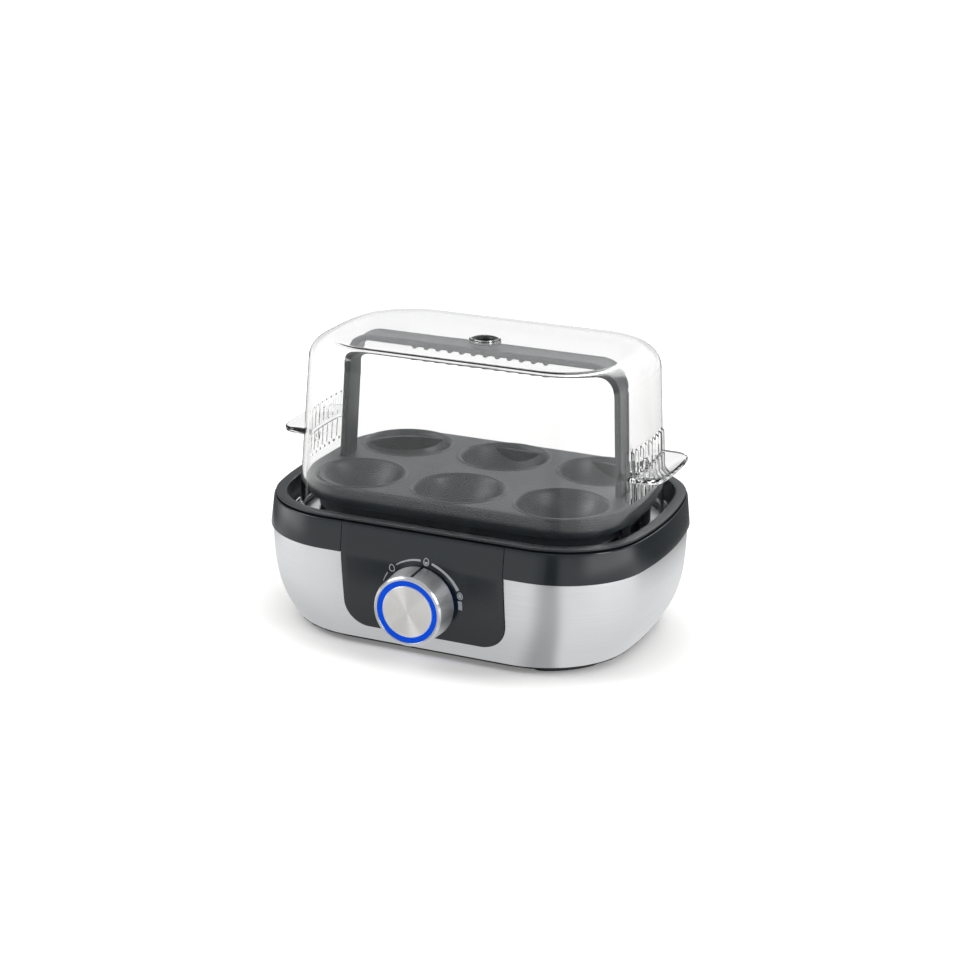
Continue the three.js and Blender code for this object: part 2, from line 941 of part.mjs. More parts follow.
// A rectangular component that stands on the mains board.
function boardBlock(sizes) {
  const bottom = boardTop + gap;
  return box(
    sizes.x - sizes.length / 2,
    sizes.x + sizes.length / 2,
    sizes.y - sizes.width / 2,
    sizes.y + sizes.width / 2,
    bottom,
    bottom + sizes.height,
  );
}

function boardCan(sizes) {
  const bottom = boardTop + gap;
  return uprightCylinder(sizes.radius, bottom, bottom + sizes.height, sizes.x, sizes.y, mediumRoundSteps);
}

const terminalTop = floorTop + gap + terminal.height;

function terminalBlock() {
  return box(
    -terminal.length / 2,
    terminal.length / 2,
    terminalY - terminal.width / 2,
    terminalY + terminal.width / 2,
    floorTop + gap,
    terminalTop,
  );
}

// An insulated lead from an end of the heating element down to the terminal block.
function heaterLead(side) {
  const x = (side * heater.tailSpacing) / 2;
  const start = heaterUnderside - heater.tubeRadius;
  const end = terminalTop + gap;
  const y = plateRadius + gap;
  const drop = start - end;
  const points = [
    new THREE.Vector3(x, y, start),
    new THREE.Vector3(x, y + lead.sweep / 2, start),
    new THREE.Vector3(x, y + lead.sweep, start - drop * lead.riseShare),
    new THREE.Vector3(x, y + lead.sweep, end + drop * lead.riseShare),
    new THREE.Vector3(x, y + lead.sweep, end),
  ];
  return tube(new THREE.CatmullRomCurve3(points), lead.radius, lead.steps);
}

function cordGland() {
  const flangeFront = sideReach(gland.height + gland.flangeRadius, skirt.step) + gap;
  const innerEnd = nutSeat() - gland.nutThickness;
  return turnedLevel(
    [
      [gland.boreRadius, innerEnd],
      [gland.neckRadius, innerEnd],
      [gland.neckRadius, flangeFront],
      [gland.flangeRadius, flangeFront],
      [gland.flangeRadius, flangeFront + gland.flangeThickness / 2],
      [gland.neckRadius, flangeFront + gland.flangeThickness],
      [gland.boreRadius, flangeFront + gland.flangeThickness],
    ],
    0,
    gland.height,
    glandSides,
  );
}

// Where the nut meets the inside of the skirt.
function nutSeat() {
  return sideReach(gland.height - gland.flangeRadius, skirt.step + skirt.sheet) - gap;
}

function glandNut() {
  const back = nutSeat();
  const front = back - gland.nutThickness;
  const hexagon = levelCylinder(gland.flangeRadius, front, back, 0, gland.height, nutSides);
  const bore = levelCylinder(
    gland.neckRadius + gap,
    front - overrun,
    back + overrun,
    0,
    gland.height,
    glandSides,
  );
  return cut(hexagon, bore);
}

// Dial and push button

const indexAngle = THREE.MathUtils.degToRad(dial.indexDegrees);
const lipInner = dial.lightOuter + gap;
const sleeveInner = dial.frontRadius - dial.wall + gap;
const lightFace = -dialFace + dial.lightSunk;
const buttonFace = -dialFace + dial.buttonSunk;
const buttonBack = buttonFace + dial.buttonThickness;
const webFront = buttonBack + dial.buttonTravel + gap;
const webBack = webFront + dial.webThickness;
const stemEnd = -boardFront + control.boardThickness;

// A bar that lies along the top of the dial's side, turned to the index angle.
function indexBar(halfWidth, innerRadius, outerRadius, y0, y1) {
  const shape = new THREE.Shape();
  shape.moveTo(-halfWidth, innerRadius);
  shape.lineTo(halfWidth, innerRadius);
  shape.lineTo(halfWidth, outerRadius);
  shape.lineTo(-halfWidth, outerRadius);
  const geometry = new THREE.ExtrudeGeometry(shape, { depth: y1 - y0, bevelEnabled: false });
  geometry.rotateX(Math.PI / 2).translate(0, y1, 0);
  return solid(geometry.rotateY(indexAngle).translate(0, 0, dialHeight));
}

function knobShell() {
  const sleeve = turnedLevel(
    [
      [dial.backRadius - dial.edge, -dialBack],
      [dial.backRadius, -dialBack - dial.edge],
      [dial.frontRadius, -dialFace + dial.edge],
      [dial.frontRadius - dial.edge, -dialFace],
      [lipInner, -dialFace],
      [lipInner, -dialFace + dial.lipDepth],
      [sleeveInner, -dialFace + dial.lipDepth],
      [sleeveInner, -dialBack],
    ],
    0,
    dialHeight,
  );
  const slot = indexBar(
    dial.indexWidth / 2 + gap,
    dial.frontRadius - dial.indexDepth,
    dial.backRadius + overrun,
    -dialFace + dial.lipDepth,
    -dialBack + overrun,
  );
  return cut(sleeve, slot);
}

function knobIndex() {
  return indexBar(
    dial.indexWidth / 2,
    dial.frontRadius - dial.indexDepth + gap,
    dial.frontRadius + gap,
    -dialFace + dial.lipDepth + gap,
    -dialBack - gap,
  );
}

// The translucent core that carries the shell and shows as the lit ring.
function lightRing() {
  const outer = sleeveInner - gap;
  const skirtBack = -dialBack - gap;
  const shoulder = -dialFace + dial.lipDepth + gap;
  const bore = dial.shaftRadius + gap;
  return turnedLevel(
    [
      [bore, skirtBack],
      [dial.hubRadius, skirtBack],
      [dial.hubRadius, webBack],
      [outer - dial.skirtThickness, webBack],
      [outer - dial.skirtThickness, skirtBack],
      [outer, skirtBack],
      [outer, shoulder],
      [dial.lightOuter, shoulder],
      [dial.lightOuter, lightFace],
      [dial.lightInner, lightFace],
      [dial.lightInner, webFront],
      [bore, webFront],
    ],
    0,
    dialHeight,
  );
}

function knobShaft() {
  const front = webFront + gap;
  const back = -boardFront - gap;
  return turnedLevel(
    [
      [dial.shaftBore, front],
      [dial.shaftRadius, front],
      [dial.shaftRadius, back],
      [dial.shaftBore, back],
    ],
    0,
    dialHeight,
    mediumRoundSteps,
  );
}

function knobButton() {
  return turnedLevel(
    [
      [0, buttonFace],
      [dial.buttonRadius - dial.edge, buttonFace],
      [dial.buttonRadius, buttonFace + dial.edge],
      [dial.buttonRadius, buttonBack],
      [dial.stemRadius, buttonBack],
      [dial.stemRadius, stemEnd],
      [0, stemEnd],
    ],
    0,
    dialHeight,
  );
}

// Control electronics

function ledPlaces() {
  const reach = control.ledRing * Math.SQRT1_2;
  return signs().map(([sx, sz]) => [sx * reach, dialHeight + sz * reach]);
}

function controlBoard() {
  const front = -boardFront;
  const plate = box(
    -control.boardHalfWidth,
    control.boardHalfWidth,
    front,
    front + control.boardThickness,
    dialHeight - control.boardHalfHeight,
    dialHeight + control.boardHalfHeight,
  );
  const hole = levelCylinder(dial.shaftBore + gap, front - overrun, -bracketBack, 0, dialHeight);
  return cut(plate, hole);
}

function rotaryEncoder() {
  const back = -boardFront - gap;
  const half = control.encoderHalf;
  const front = back - control.encoderThickness;
  const housing = box(-half, half, front, back, dialHeight - half, dialHeight + half);
  const bore = levelCylinder(
    dial.shaftRadius + gap,
    front - overrun,
    back + overrun,
    0,
    dialHeight,
    mediumRoundSteps,
  );
  return cut(housing, bore);
}

function indicatorLight([x, z]) {
  const back = -boardFront - gap;
  return levelCylinder(control.ledRadius, back - control.ledLength, back, x, z);
}

const bracketFront = -bracketBack - control.bracketThickness;

function startSwitch() {
  const half = control.switchHalf;
  const back = bracketFront - gap;
  return box(-half, half, back - control.switchThickness, back, dialHeight - half, dialHeight + half);
}

function controlBracket() {
  const bottom = floorTop + gap;
  const half = control.bracketHalfWidth;
  const plate = box(-half, half, bracketFront, -bracketBack, bottom, control.bracketTop);
  const toe = box(
    -half,
    half,
    bracketFront,
    bracketFront + control.bracketFoot,
    bottom,
    bottom + control.bracketThickness,
  );
  const standoffs = signs().map(([sx, sz]) =>
    levelCylinder(
      control.standoffRadius,
      -boardFront + control.boardThickness + gap,
      -bracketBack - control.bracketThickness / 2,
      sx * control.standoffX,
      dialHeight + sz * control.standoffZ,
    ),
  );
  return join(plate, toe, ...standoffs);
}

// Egg tray

function seatPlaces() {
  const places = [];
  for (let row = 0; row < egg.rows; row++) {
    for (let column = 0; column < egg.columns; column++) {
      const x = (column - (egg.columns - 1) / 2) * columnPitch;
      const y = (row - (egg.rows - 1) / 2) * rowPitch;
      places.push([x, y]);
    }
  }
  return places;
}

// The egg's radius at a height in its seat.
function eggRadius(z) {
  const drop = (egg.waistZ - z) / egg.waistHeight;
  return eggWaist * Math.sqrt(1 - drop * drop);
}

function seatProfile(wall, reach) {
  const side = heights(tray.cupBottom, tray.top, egg.seatSteps).map((z) => [eggRadius(z) + wall, z]);
  const bottom = tray.cupBottom - reach;
  const top = tray.top + reach;
  return [[0, bottom], [side[0][0], bottom], ...side, [side.at(-1)[0], top], [0, top]];
}

const legSlope = handle.lean / (handle.top - handle.bottom);
const legOuter = (z) => barHalfLength + legSlope * (handle.top - z);

function handleSocket(side) {
  const margin = gap + tray.socketWall;
  const outer = legOuter(handle.bottom) + margin;
  const inner = legOuter(tray.top) - handle.thickness - margin;
  const half = handle.width / 2 + margin;
  const x = [side * inner, side * outer].sort((a, b) => a - b);
  return box(x[0], x[1], -half, half, tray.socketBottom, tray.top - tray.wall / 2);
}

function handleSlot(side) {
  const outer = legOuter(handle.bottom) + gap;
  const inner = legOuter(tray.top) - handle.thickness - gap;
  const half = handle.width / 2 + gap;
  const x = [side * inner, side * outer].sort((a, b) => a - b);
  return box(x[0], x[1], -half, half, handle.bottom - gap, tray.top + overrun);
}

function eggTray() {
  const outside = loft(trayOutline, [
    [tray.lowerEdge, tray.bottom],
    [0, tray.bottom + tray.lowerEdge],
    [0, tray.top - tray.edge],
    [tray.edge * (1 - Math.SQRT1_2), tray.top - tray.edge * (1 - Math.SQRT1_2)],
    [tray.edge, tray.top],
  ]);
  const ceiling = tray.top - tray.wall;
  const hollow = loft(trayOutline, [
    [tray.wall, tray.bottom - overrun],
    [tray.wall, ceiling],
  ]);
  const skirtWall = ring(trayOutline, [
    [tray.skirtInset, tray.skirtBottom],
    [tray.skirtInset, ceiling + tray.wall / 2],
    [tray.skirtInset + tray.wall, ceiling + tray.wall / 2],
    [tray.skirtInset + tray.wall, tray.skirtBottom],
  ]);
  const feet = signs().map(([sx, sy]) =>
    uprightCylinder(
      tray.footRadius,
      trayRest,
      ceiling + tray.wall / 2,
      sx * trayFootX,
      sy * tray.footY,
    ),
  );
  const cups = seatPlaces().map(([x, y]) =>
    turnedUpright(seatProfile(tray.cupWall, 0), x, y, mediumRoundSteps),
  );
  const bores = seatPlaces().map(([x, y]) =>
    turnedUpright(seatProfile(0, overrun), x, y, mediumRoundSteps),
  );
  const sockets = [-1, 1].map(handleSocket);
  const slots = [-1, 1].map(handleSlot);
  const whole = join(cut(outside, hollow), skirtWall, ...feet, ...cups, ...sockets);
  return cut(whole, ...bores, ...slots);
}

function trayHandle() {
  const shape = new THREE.Shape();
  const bend = handle.top - handle.bendRadius;
  const outerCentre = barHalfLength - handle.bendRadius;
  const innerRadius = handle.bendRadius - handle.thickness;
  shape.moveTo(-handleHalfLength + handle.thickness, handle.bottom);
  shape.lineTo(-handleHalfLength, handle.bottom);
  shape.absarc(-outerCentre, bend, handle.bendRadius, Math.PI, Math.PI / 2, true);
  shape.absarc(outerCentre, bend, handle.bendRadius, Math.PI / 2, 0, true);
  shape.lineTo(handleHalfLength, handle.bottom);
  shape.lineTo(handleHalfLength - handle.thickness, handle.bottom);
  shape.absarc(outerCentre, bend, innerRadius, 0, Math.PI / 2, false);
  shape.absarc(-outerCentre, bend, innerRadius, Math.PI / 2, Math.PI, false);
  const bow = levelPrism(shape, -handle.width / 2, handle.width / 2);
  const barBottom = handle.top - handle.thickness;
  const teeth = Array.from({ length: handle.toothCount }, (_, k) => {
    const x = (k - (handle.toothCount - 1) / 2) * handle.toothPitch;
    const tooth = new THREE.Shape();
    tooth.moveTo(x - handle.toothWidth / 2, barBottom + handle.thickness / 2);
    tooth.lineTo(x - handle.toothWidth / 2, barBottom);
    tooth.lineTo(x - handle.toothWidth / 4, barBottom - handle.toothHeight);
    tooth.lineTo(x + handle.toothWidth / 4, barBottom - handle.toothHeight);
    tooth.lineTo(x + handle.toothWidth / 2, barBottom);
    tooth.lineTo(x + handle.toothWidth / 2, barBottom + handle.thickness / 2);
    return levelPrism(tooth, -handle.width / 2, handle.width / 2);
  });
  return join(bow, ...teeth);
}

// Hood and vent

// The hood's wall from the bottom edge to the top, with a round shoulder.
function hoodProfile(inset, bottom, top) {
  const radius = hood.shoulder - inset;
  const shoulderStart = top - radius;
  const shoulder = heights(0, Math.PI / 2, hood.shoulderSteps).map((angle) => [
    inset + radius * (1 - Math.cos(angle)),
    shoulderStart + radius * Math.sin(angle),
  ]);
  return [[inset, bottom], ...shoulder];
}

// One plate across the hood, of which only the two end tabs stay.
function tabPlate() {
  const reach = hoodHalfLength + tab.standOut;
  const outline = roundedOutline(reach, tab.halfWidth, tab.endRadius, tab.cornerRadius);
  return loft(
    () => outline,
    [
      [0, tab.z],
      [0, tab.z + tab.thickness],
    ],
  );
}

function gripRib(side, y) {
  const bow = hoodEndRadius - Math.sqrt(hoodEndRadius * hoodEndRadius - y * y);
  const wallAt = (z) => hoodEnd(z) - bow;
  const shape = new THREE.Shape();
  shape.moveTo(side * (wallAt(rib.bottom) - hood.wall / 2), rib.bottom);
  shape.lineTo(side * wallAt(rib.bottom), rib.bottom);
  shape.lineTo(side * (wallAt(rib.bottom + rib.tipDrop) + rib.depth), rib.bottom + rib.tipDrop);
  shape.lineTo(side * (wallAt(rib.top - rib.tipDrop) + rib.depth), rib.top - rib.tipDrop);
  shape.lineTo(side * wallAt(rib.top), rib.top);
  shape.lineTo(side * (wallAt(rib.top) - hood.wall / 2), rib.top);
  return levelPrism(shape, y - rib.thickness / 2, y + rib.thickness / 2);
}

function clearHood() {
  const inside = hoodProfile(hood.wall, hoodBottom, hood.top - hood.wall).reverse();
  const shell = loft(hoodOutline, [...inside, ...hoodProfile(0, hoodBottom, hood.top)]);
  const hollow = loft(hoodOutline, hoodProfile(hood.wall, hoodBottom - overrun, hood.top - hood.wall));
  const ribPlaces = Array.from({ length: rib.count }, (_, k) => (k - (rib.count - 1) / 2) * rib.pitch);
  const ribs = [-1, 1].flatMap((side) => ribPlaces.map((y) => gripRib(side, y)));
  const collar = uprightCylinder(
    vent.collarRadius,
    hood.top - hood.wall / 2,
    hood.top + vent.collarHeight,
    0,
    0,
    mediumRoundSteps,
  );
  const hole = uprightCylinder(
    vent.bushRadius + gap,
    hood.top - hood.wall - overrun,
    hood.top + vent.collarHeight + overrun,
    0,
    0,
    mediumRoundSteps,
  );
  return cut(join(shell, cut(tabPlate(), hollow), ...ribs, collar), hole);
}

function ventBush() {
  const ceiling = hood.top - hood.wall - gap;
  const flangeUnderside = ceiling - vent.flangeThickness;
  const top = hood.top + vent.collarHeight;
  return turnedUpright(
    [
      [vent.boreRadius, flangeUnderside],
      [vent.flangeRadius, flangeUnderside],
      [vent.flangeRadius, ceiling],
      [vent.bushRadius, ceiling],
      [vent.bushRadius, top],
      [vent.boreRadius, top - (vent.bushRadius - vent.boreRadius) / 2],
    ],
    0,
    0,
    mediumRoundSteps,
  );
}

// Finishes
const finishes = {
  steel: { color: 0xc4c8cb, roughness: 0.34, metalness: 1 },
  chrome: { color: 0xd4d6d8, roughness: 0.16, metalness: 1 },
  spunMetal: { color: 0xd9d6d0, roughness: 0.3, metalness: 1 },
  aluminium: { color: 0xb4b7ba, roughness: 0.45, metalness: 1 },
  darkPlastic: { color: 0x2a2d30, roughness: 0.38, metalness: 0 },
  panelPlastic: { color: 0x24272a, roughness: 0.3, metalness: 0 },
  trayPlastic: { color: 0x3a3e41, roughness: 0.42, metalness: 0 },
  blackPlastic: { color: 0x0e0f10, roughness: 0.5, metalness: 0 },
  rubber: { color: 0x101112, roughness: 0.85, metalness: 0 },
  silicone: { color: 0x8a3b2c, roughness: 0.6, metalness: 0 },
  clear: { color: 0xf2f6f8, roughness: 0.05, metalness: 0, transparent: true, opacity: 0.3 },
  blueLight: { color: 0x1060f0, roughness: 0.25, metalness: 0, emissive: 0x0a50ff },
  boardGreen: { color: 0x1d5b34, roughness: 0.5, metalness: 0 },
  ceramic: { color: 0xe2dfd6, roughness: 0.5, metalness: 0 },
  copper: { color: 0xb87342, roughness: 0.35, metalness: 1 },
};

// Puts a named piece of a finish in its group.
function place(group, name, shape, finish) {
  const mesh = new THREE.Mesh(geometryOf(shape), new THREE.MeshStandardMaterial(finishes[finish]));
  mesh.name = name;
  group.add(mesh);
}

const corners = ['front_left', 'front_right', 'rear_left', 'rear_right'];
const boiler = new THREE.Group();
boiler.position.y = footprintShift;
const baseUnit = new THREE.Group();
const dialUnit = new THREE.Group();
const buttonUnit = new THREE.Group();
const trayUnit = new THREE.Group();
const hoodUnit = new THREE.Group();
boiler.add(baseUnit, dialUnit, trayUnit);
dialUnit.add(buttonUnit);
trayUnit.add(hoodUnit);

place(baseUnit, 'base_plate', basePlate(), 'blackPlastic');
place(baseUnit, 'steel_skirt', steelSkirt(), 'steel');
place(baseUnit, 'outer_band', outerBand(), 'darkPlastic');
place(baseUnit, 'top_frame', topFrame(), 'darkPlastic');
place(baseUnit, 'control_panel', controlPanel(), 'panelPlastic');
signs().forEach(([sx, sy], k) => {
  place(baseUnit, `foot_${corners[k]}`, footPad(sx, sy), 'rubber');
  const [x, y] = [sx * pillarX, sy * pillarY];
  place(baseUnit, `base_screw_${corners[k]}`, risingScrew(screw, base.bottom + gap, x, y), 'aluminium');
});

place(baseUnit, 'pan_seal', panSeal(), 'silicone');
place(baseUnit, 'heating_pan', heatingPan(), 'steel');
const panScrew = { ...screw, reach: frame.ledgeThickness + seal.thickness + gap };
panScrewPlaces().forEach(([x, y], k) => {
  const headBottom = frame.ledgeTop - frame.ledgeThickness - gap - screw.headHeight;
  const side = ['left', 'right', 'front', 'rear'][k];
  place(baseUnit, `pan_screw_${side}`, risingScrew(panScrew, headBottom, x, y), 'aluminium');
});
place(baseUnit, 'heat_spreader', heatSpreader(), 'aluminium');
place(baseUnit, 'heating_element', heatingElement(), 'aluminium');
place(baseUnit, 'thermostat', thermostatBody(), 'ceramic');
place(baseUnit, 'thermal_fuse', thermalFuse(), 'copper');
place(baseUnit, 'temperature_sensor', temperatureSensor(), 'copper');

place(baseUnit, 'mains_board', mainsBoard(), 'boardGreen');
place(baseUnit, 'relay', boardBlock(relay), 'blackPlastic');
place(baseUnit, 'transformer', boardBlock(transformer), 'blackPlastic');
place(baseUnit, 'filter_capacitor', boardCan(capacitor), 'aluminium');
place(baseUnit, 'buzzer', boardCan(buzzer), 'blackPlastic');
boardScrewPlaces().forEach(([x, y], k) => {
  place(baseUnit, `board_screw_${corners[k]}`, fallingScrew(smallScrew, boardTop + gap, x, y), 'aluminium');
});
place(baseUnit, 'terminal_block', terminalBlock(), 'ceramic');
place(baseUnit, 'heater_lead_left', heaterLead(-1), 'silicone');
place(baseUnit, 'heater_lead_right', heaterLead(1), 'silicone');
place(baseUnit, 'cord_gland', cordGland(), 'blackPlastic');
place(baseUnit, 'gland_nut', glandNut(), 'blackPlastic');

place(baseUnit, 'control_board', controlBoard(), 'boardGreen');
place(baseUnit, 'rotary_encoder', rotaryEncoder(), 'aluminium');
place(baseUnit, 'start_switch', startSwitch(), 'blackPlastic');
place(baseUnit, 'control_bracket', controlBracket(), 'blackPlastic');
ledPlaces().forEach((spot, k) => {
  place(baseUnit, `indicator_led_${k + 1}`, indicatorLight(spot), 'blueLight');
});

place(dialUnit, 'knob_shell', knobShell(), 'chrome');
place(dialUnit, 'knob_index', knobIndex(), 'blackPlastic');
place(dialUnit, 'light_ring', lightRing(), 'blueLight');
place(dialUnit, 'knob_shaft', knobShaft(), 'aluminium');
place(buttonUnit, 'knob_button', knobButton(), 'spunMetal');

place(trayUnit, 'egg_tray', eggTray(), 'trayPlastic');
place(trayUnit, 'tray_handle', trayHandle(), 'trayPlastic');
place(hoodUnit, 'clear_hood', clearHood(), 'clear');
place(hoodUnit, 'vent_bush', ventBush(), 'blackPlastic');

export default boiler;
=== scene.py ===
"""Looks of a six-egg boiler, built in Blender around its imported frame.

Every shape is worked out in millimetres in the frame's axes (+Z up, front towards -Y) and
turned into metres when its mesh is made. Each sub-assembly is a class with its sizes, and
main() builds them in order.
"""

import logging
import math
from collections.abc import Callable, Iterable, Sequence
from dataclasses import dataclass, field
from enum import Enum

import bmesh
import bpy
from mathutils import Matrix, Vector

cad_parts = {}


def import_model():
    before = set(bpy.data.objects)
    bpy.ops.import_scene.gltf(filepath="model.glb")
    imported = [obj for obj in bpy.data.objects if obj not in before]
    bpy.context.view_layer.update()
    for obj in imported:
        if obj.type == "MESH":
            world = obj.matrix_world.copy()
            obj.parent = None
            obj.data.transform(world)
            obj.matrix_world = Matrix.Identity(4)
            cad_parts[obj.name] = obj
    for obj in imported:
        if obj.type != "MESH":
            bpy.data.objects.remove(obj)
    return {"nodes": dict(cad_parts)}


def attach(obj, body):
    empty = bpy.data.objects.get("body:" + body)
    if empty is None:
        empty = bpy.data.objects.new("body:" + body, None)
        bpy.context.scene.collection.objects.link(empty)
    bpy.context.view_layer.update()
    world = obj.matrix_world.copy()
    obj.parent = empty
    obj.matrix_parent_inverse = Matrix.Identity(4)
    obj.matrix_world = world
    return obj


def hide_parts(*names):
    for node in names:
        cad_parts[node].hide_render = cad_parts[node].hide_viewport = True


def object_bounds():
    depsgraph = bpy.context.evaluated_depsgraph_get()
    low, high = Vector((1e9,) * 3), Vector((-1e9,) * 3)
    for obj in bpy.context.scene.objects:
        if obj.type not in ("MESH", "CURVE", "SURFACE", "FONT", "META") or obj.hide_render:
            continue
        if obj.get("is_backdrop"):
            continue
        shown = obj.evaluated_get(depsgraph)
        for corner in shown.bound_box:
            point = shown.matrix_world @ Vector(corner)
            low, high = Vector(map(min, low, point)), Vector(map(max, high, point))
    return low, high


LOG = logging.getLogger("egg_boiler")
MM = 0.001
GAP = 0.3
OVERRUN = 2.0

# Radii that ease the corners of profiles, in millimetres
KEEN, CRISP, EASED, BLUNT, SOFT, FULL = 0.1, 0.2, 0.3, 0.4, 0.6, 0.8

# Steps round turned pieces
PIN_STEPS, HOLE_STEPS, TUBE_STEPS, SEAT_STEPS = 32, 48, 64, 72
DISC_STEPS, SHELL_STEPS = 120, 144

FOOTPRINT_SHIFT = 6.9
PATH_UV = "along"
NOISE_RANGE = (0.3, 0.7)
WHITE = (1.0, 1.0, 1.0, 1.0)

Point2 = tuple[float, float]
Point3 = tuple[float, float, float]
Place = tuple[float, float, float, float]
Outline = list[Point2]
Socket = bpy.types.NodeSocket
Input = bpy.types.NodeSocket | float | str | Sequence[float]


# Finishes


class Surface(Enum):
    """The ways in which a surface is built up in nodes."""

    MOULDED = "moulded plastic"
    BRUSHED = "brushed metal"
    SPUN = "spun metal"
    CLEAR = "clear plastic"
    LIT = "lit plastic"
    RUBBER = "rubber"
    PAINT = "printed ink"


@dataclass(frozen=True)
class Finish:
    """One material: its colour, gloss and the scale of its grain."""

    name: str
    surface: Surface
    colour: Point3
    roughness: float
    slot: str
    grain: float = 2600.0
    relief: float = 0.00001
    variation: float = 0.05
    metallic: float = 0.0
    anisotropy: float = 0.0
    specular: float = 0.5

    @property
    def title(self) -> str:
        """The material's name, which no material of the frame has."""
        return f"{self.name}_finish"

    def material(self) -> bpy.types.Material:
        """Gives the material of this finish, made on first use."""
        return bpy.data.materials.get(self.title) or FinishBuilder(self).build()


class NodeTree:
    """A node tree, written from its first nodes to its last."""

    def __init__(self, tree: bpy.types.NodeTree) -> None:
        """Takes a tree and empties it."""
        self.tree = tree
        tree.nodes.clear()

    def put(self, socket: Socket, value: Input) -> None:
        """Links a node's input to an output, or sets it to a value."""
        if isinstance(value, Socket):
            self.tree.links.new(value, socket)
        else:
            socket.default_value = value

    def fill(self, node: bpy.types.Node, **named: Input) -> None:
        """Fills a node's inputs, each named with _ for a space."""
        for name, value in named.items():
            self.put(node.inputs[name.replace("_", " ")], value)

    def node(self, kind: str, *given: Input, **named: Input) -> bpy.types.Node:
        """Adds a node.

        Args:
            kind: its type.
            *given: what its first inputs get, in order.
            **named: what its inputs get by name, with _ for a space.

        Returns:
            The node.
        """
        made = self.tree.nodes.new(kind)
        for socket, value in zip(made.inputs, given):
            self.put(socket, value)
        self.fill(made, **named)
        return made


class FinishBuilder(NodeTree):
    """Builds the node tree of one finish."""

    CLEAR_IOR = 1.36
    CLEAR_SHADOW = (0.93, 0.94, 0.94, 1.0)
    UNLIT_BLUE = (0.0, 0.01, 0.06, 1.0)
    ALONG_TANGENT = 0.25

    def __init__(self, finish: Finish) -> None:
        """Starts the material with a shader and its output.

        Args:
            finish: what it is to look like.
        """
        self.finish = finish
        self.made = bpy.data.materials.new(finish.title)
        self.made.use_nodes = True
        super().__init__(self.made.node_tree)
        self.shader = self.node("ShaderNodeBsdfPrincipled")
        surface = self.shader.outputs["BSDF"]
        self.output = self.node("ShaderNodeOutputMaterial", Surface=surface)

    def place(self) -> Socket:
        """Returns the object coordinates, which are the frame's own metres."""
        return self.node("ShaderNodeTexCoord").outputs["Object"]

    def noise(self, vector: Socket, scale: float, detail: float = 3.0) -> Socket:
        """Adds a noise texture.

        Args:
            vector: where it is read.
            scale: cycles per unit of the vector.
            detail: octaves.

        Returns:
            The noise's value.
        """
        kind = "ShaderNodeTexNoise"
        return self.node(kind, Vector=vector, Scale=scale, Detail=detail).outputs["Fac"]

    def stretched(self, along: float, across: float) -> Socket:
        """Scales the path coordinates apart along and across the brushing.

        Args:
            along: scale along the path.
            across: scale across it.

        Returns:
            The scaled coordinates.
        """
        uv = self.node("ShaderNodeUVMap")
        uv.uv_map = PATH_UV
        scale = (along, across, 1.0)
        made = self.node("ShaderNodeMapping", Vector=uv.outputs["UV"], Scale=scale)
        return made.outputs["Vector"]

    def gloss(self, value: Socket, least: float, most: float) -> None:
        """Makes the gloss uneven with a noise.

        Args:
            value: the noise.
            least: least share of the finish's roughness.
            most: greatest share of it.
        """
        rough = self.finish.roughness
        ends = (*NOISE_RANGE, rough * least, rough * most)
        made = self.node("ShaderNodeMapRange", value, *ends)
        self.fill(self.shader, Roughness=made.outputs["Result"])

    def shade(self, value: Socket, socket: str = "Base_Color") -> None:
        """Turns a noise into the finish's colour with slight light and dark in it.

        Args:
            value: the noise.
            socket: the shader's input that takes the colour, with _ for a space.
        """
        finish = self.finish
        ramp = self.node("ShaderNodeValToRGB", Fac=value)
        stops = zip(ramp.color_ramp.elements, NOISE_RANGE, (-1.0, 1.0), strict=True)
        for stop, position, way in stops:
            change = 1.0 + way * finish.variation
            stop.color = (*(min(c * change, 1.0) for c in finish.colour), 1.0)
            stop.position = position
        self.fill(self.shader, **{socket: ramp.outputs["Color"]})

    def bump(self, height: Socket, strength: float = 1.0) -> None:
        """Raises the surface by a noise.

        Args:
            height: the noise.
            strength: share of the finish's relief.
        """
        deep = self.finish.relief
        made = self.node("ShaderNodeBump", Height=height, Strength=strength, Distance=deep)
        self.fill(self.shader, Normal=made.outputs["Normal"])

    def plain(self) -> None:
        """Sets the values that every finish has."""
        finish = self.finish
        self.fill(
            self.shader,
            Base_Color=(*finish.colour, 1.0),
            Roughness=finish.roughness,
            Metallic=finish.metallic,
            Specular_IOR_Level=finish.specular,
        )

    def moulded(self) -> None:
        """A fine spark-eroded grain with uneven gloss; screws and castings have it too."""
        place = self.place()
        broad = self.noise(place, scale=28.0, detail=4.0)
        fine = self.noise(place, self.finish.grain, detail=2.0)
        self.shade(broad)
        self.gloss(broad, least=0.9, most=1.12)
        self.bump(fine)

    def scratched(self, scratches: Socket) -> None:
        """Worked bare metal: its scratches, with the tangent along them.

        Args:
            scratches: their noise.
        """
        self.shade(scratches)
        made = self.node("ShaderNodeTangent")
        made.direction_type = "UV_MAP"
        made.uv_map = PATH_UV
        self.fill(
            self.shader,
            Tangent=made.outputs["Tangent"],
            Anisotropic=self.finish.anisotropy,
            Anisotropic_Rotation=self.ALONG_TANGENT,
        )
        self.bump(scratches)

    def brushed(self) -> None:
        """Brushed sheet: long fine scratches along the path coordinates."""
        patches = self.noise(self.stretched(along=0.02, across=0.3), 1.0, detail=2.0)
        self.gloss(patches, least=0.92, most=1.08)
        self.scratched(self.noise(self.stretched(along=0.03, across=5.0), 1.0, detail=5.0))

    def spun(self) -> None:
        """Spun metal: fine circles, with the tangent round them."""
        circles = self.noise(self.stretched(along=0.01, across=9.0), 1.0, detail=4.0)
        self.gloss(circles, least=0.9, most=1.1)
        self.scratched(circles)

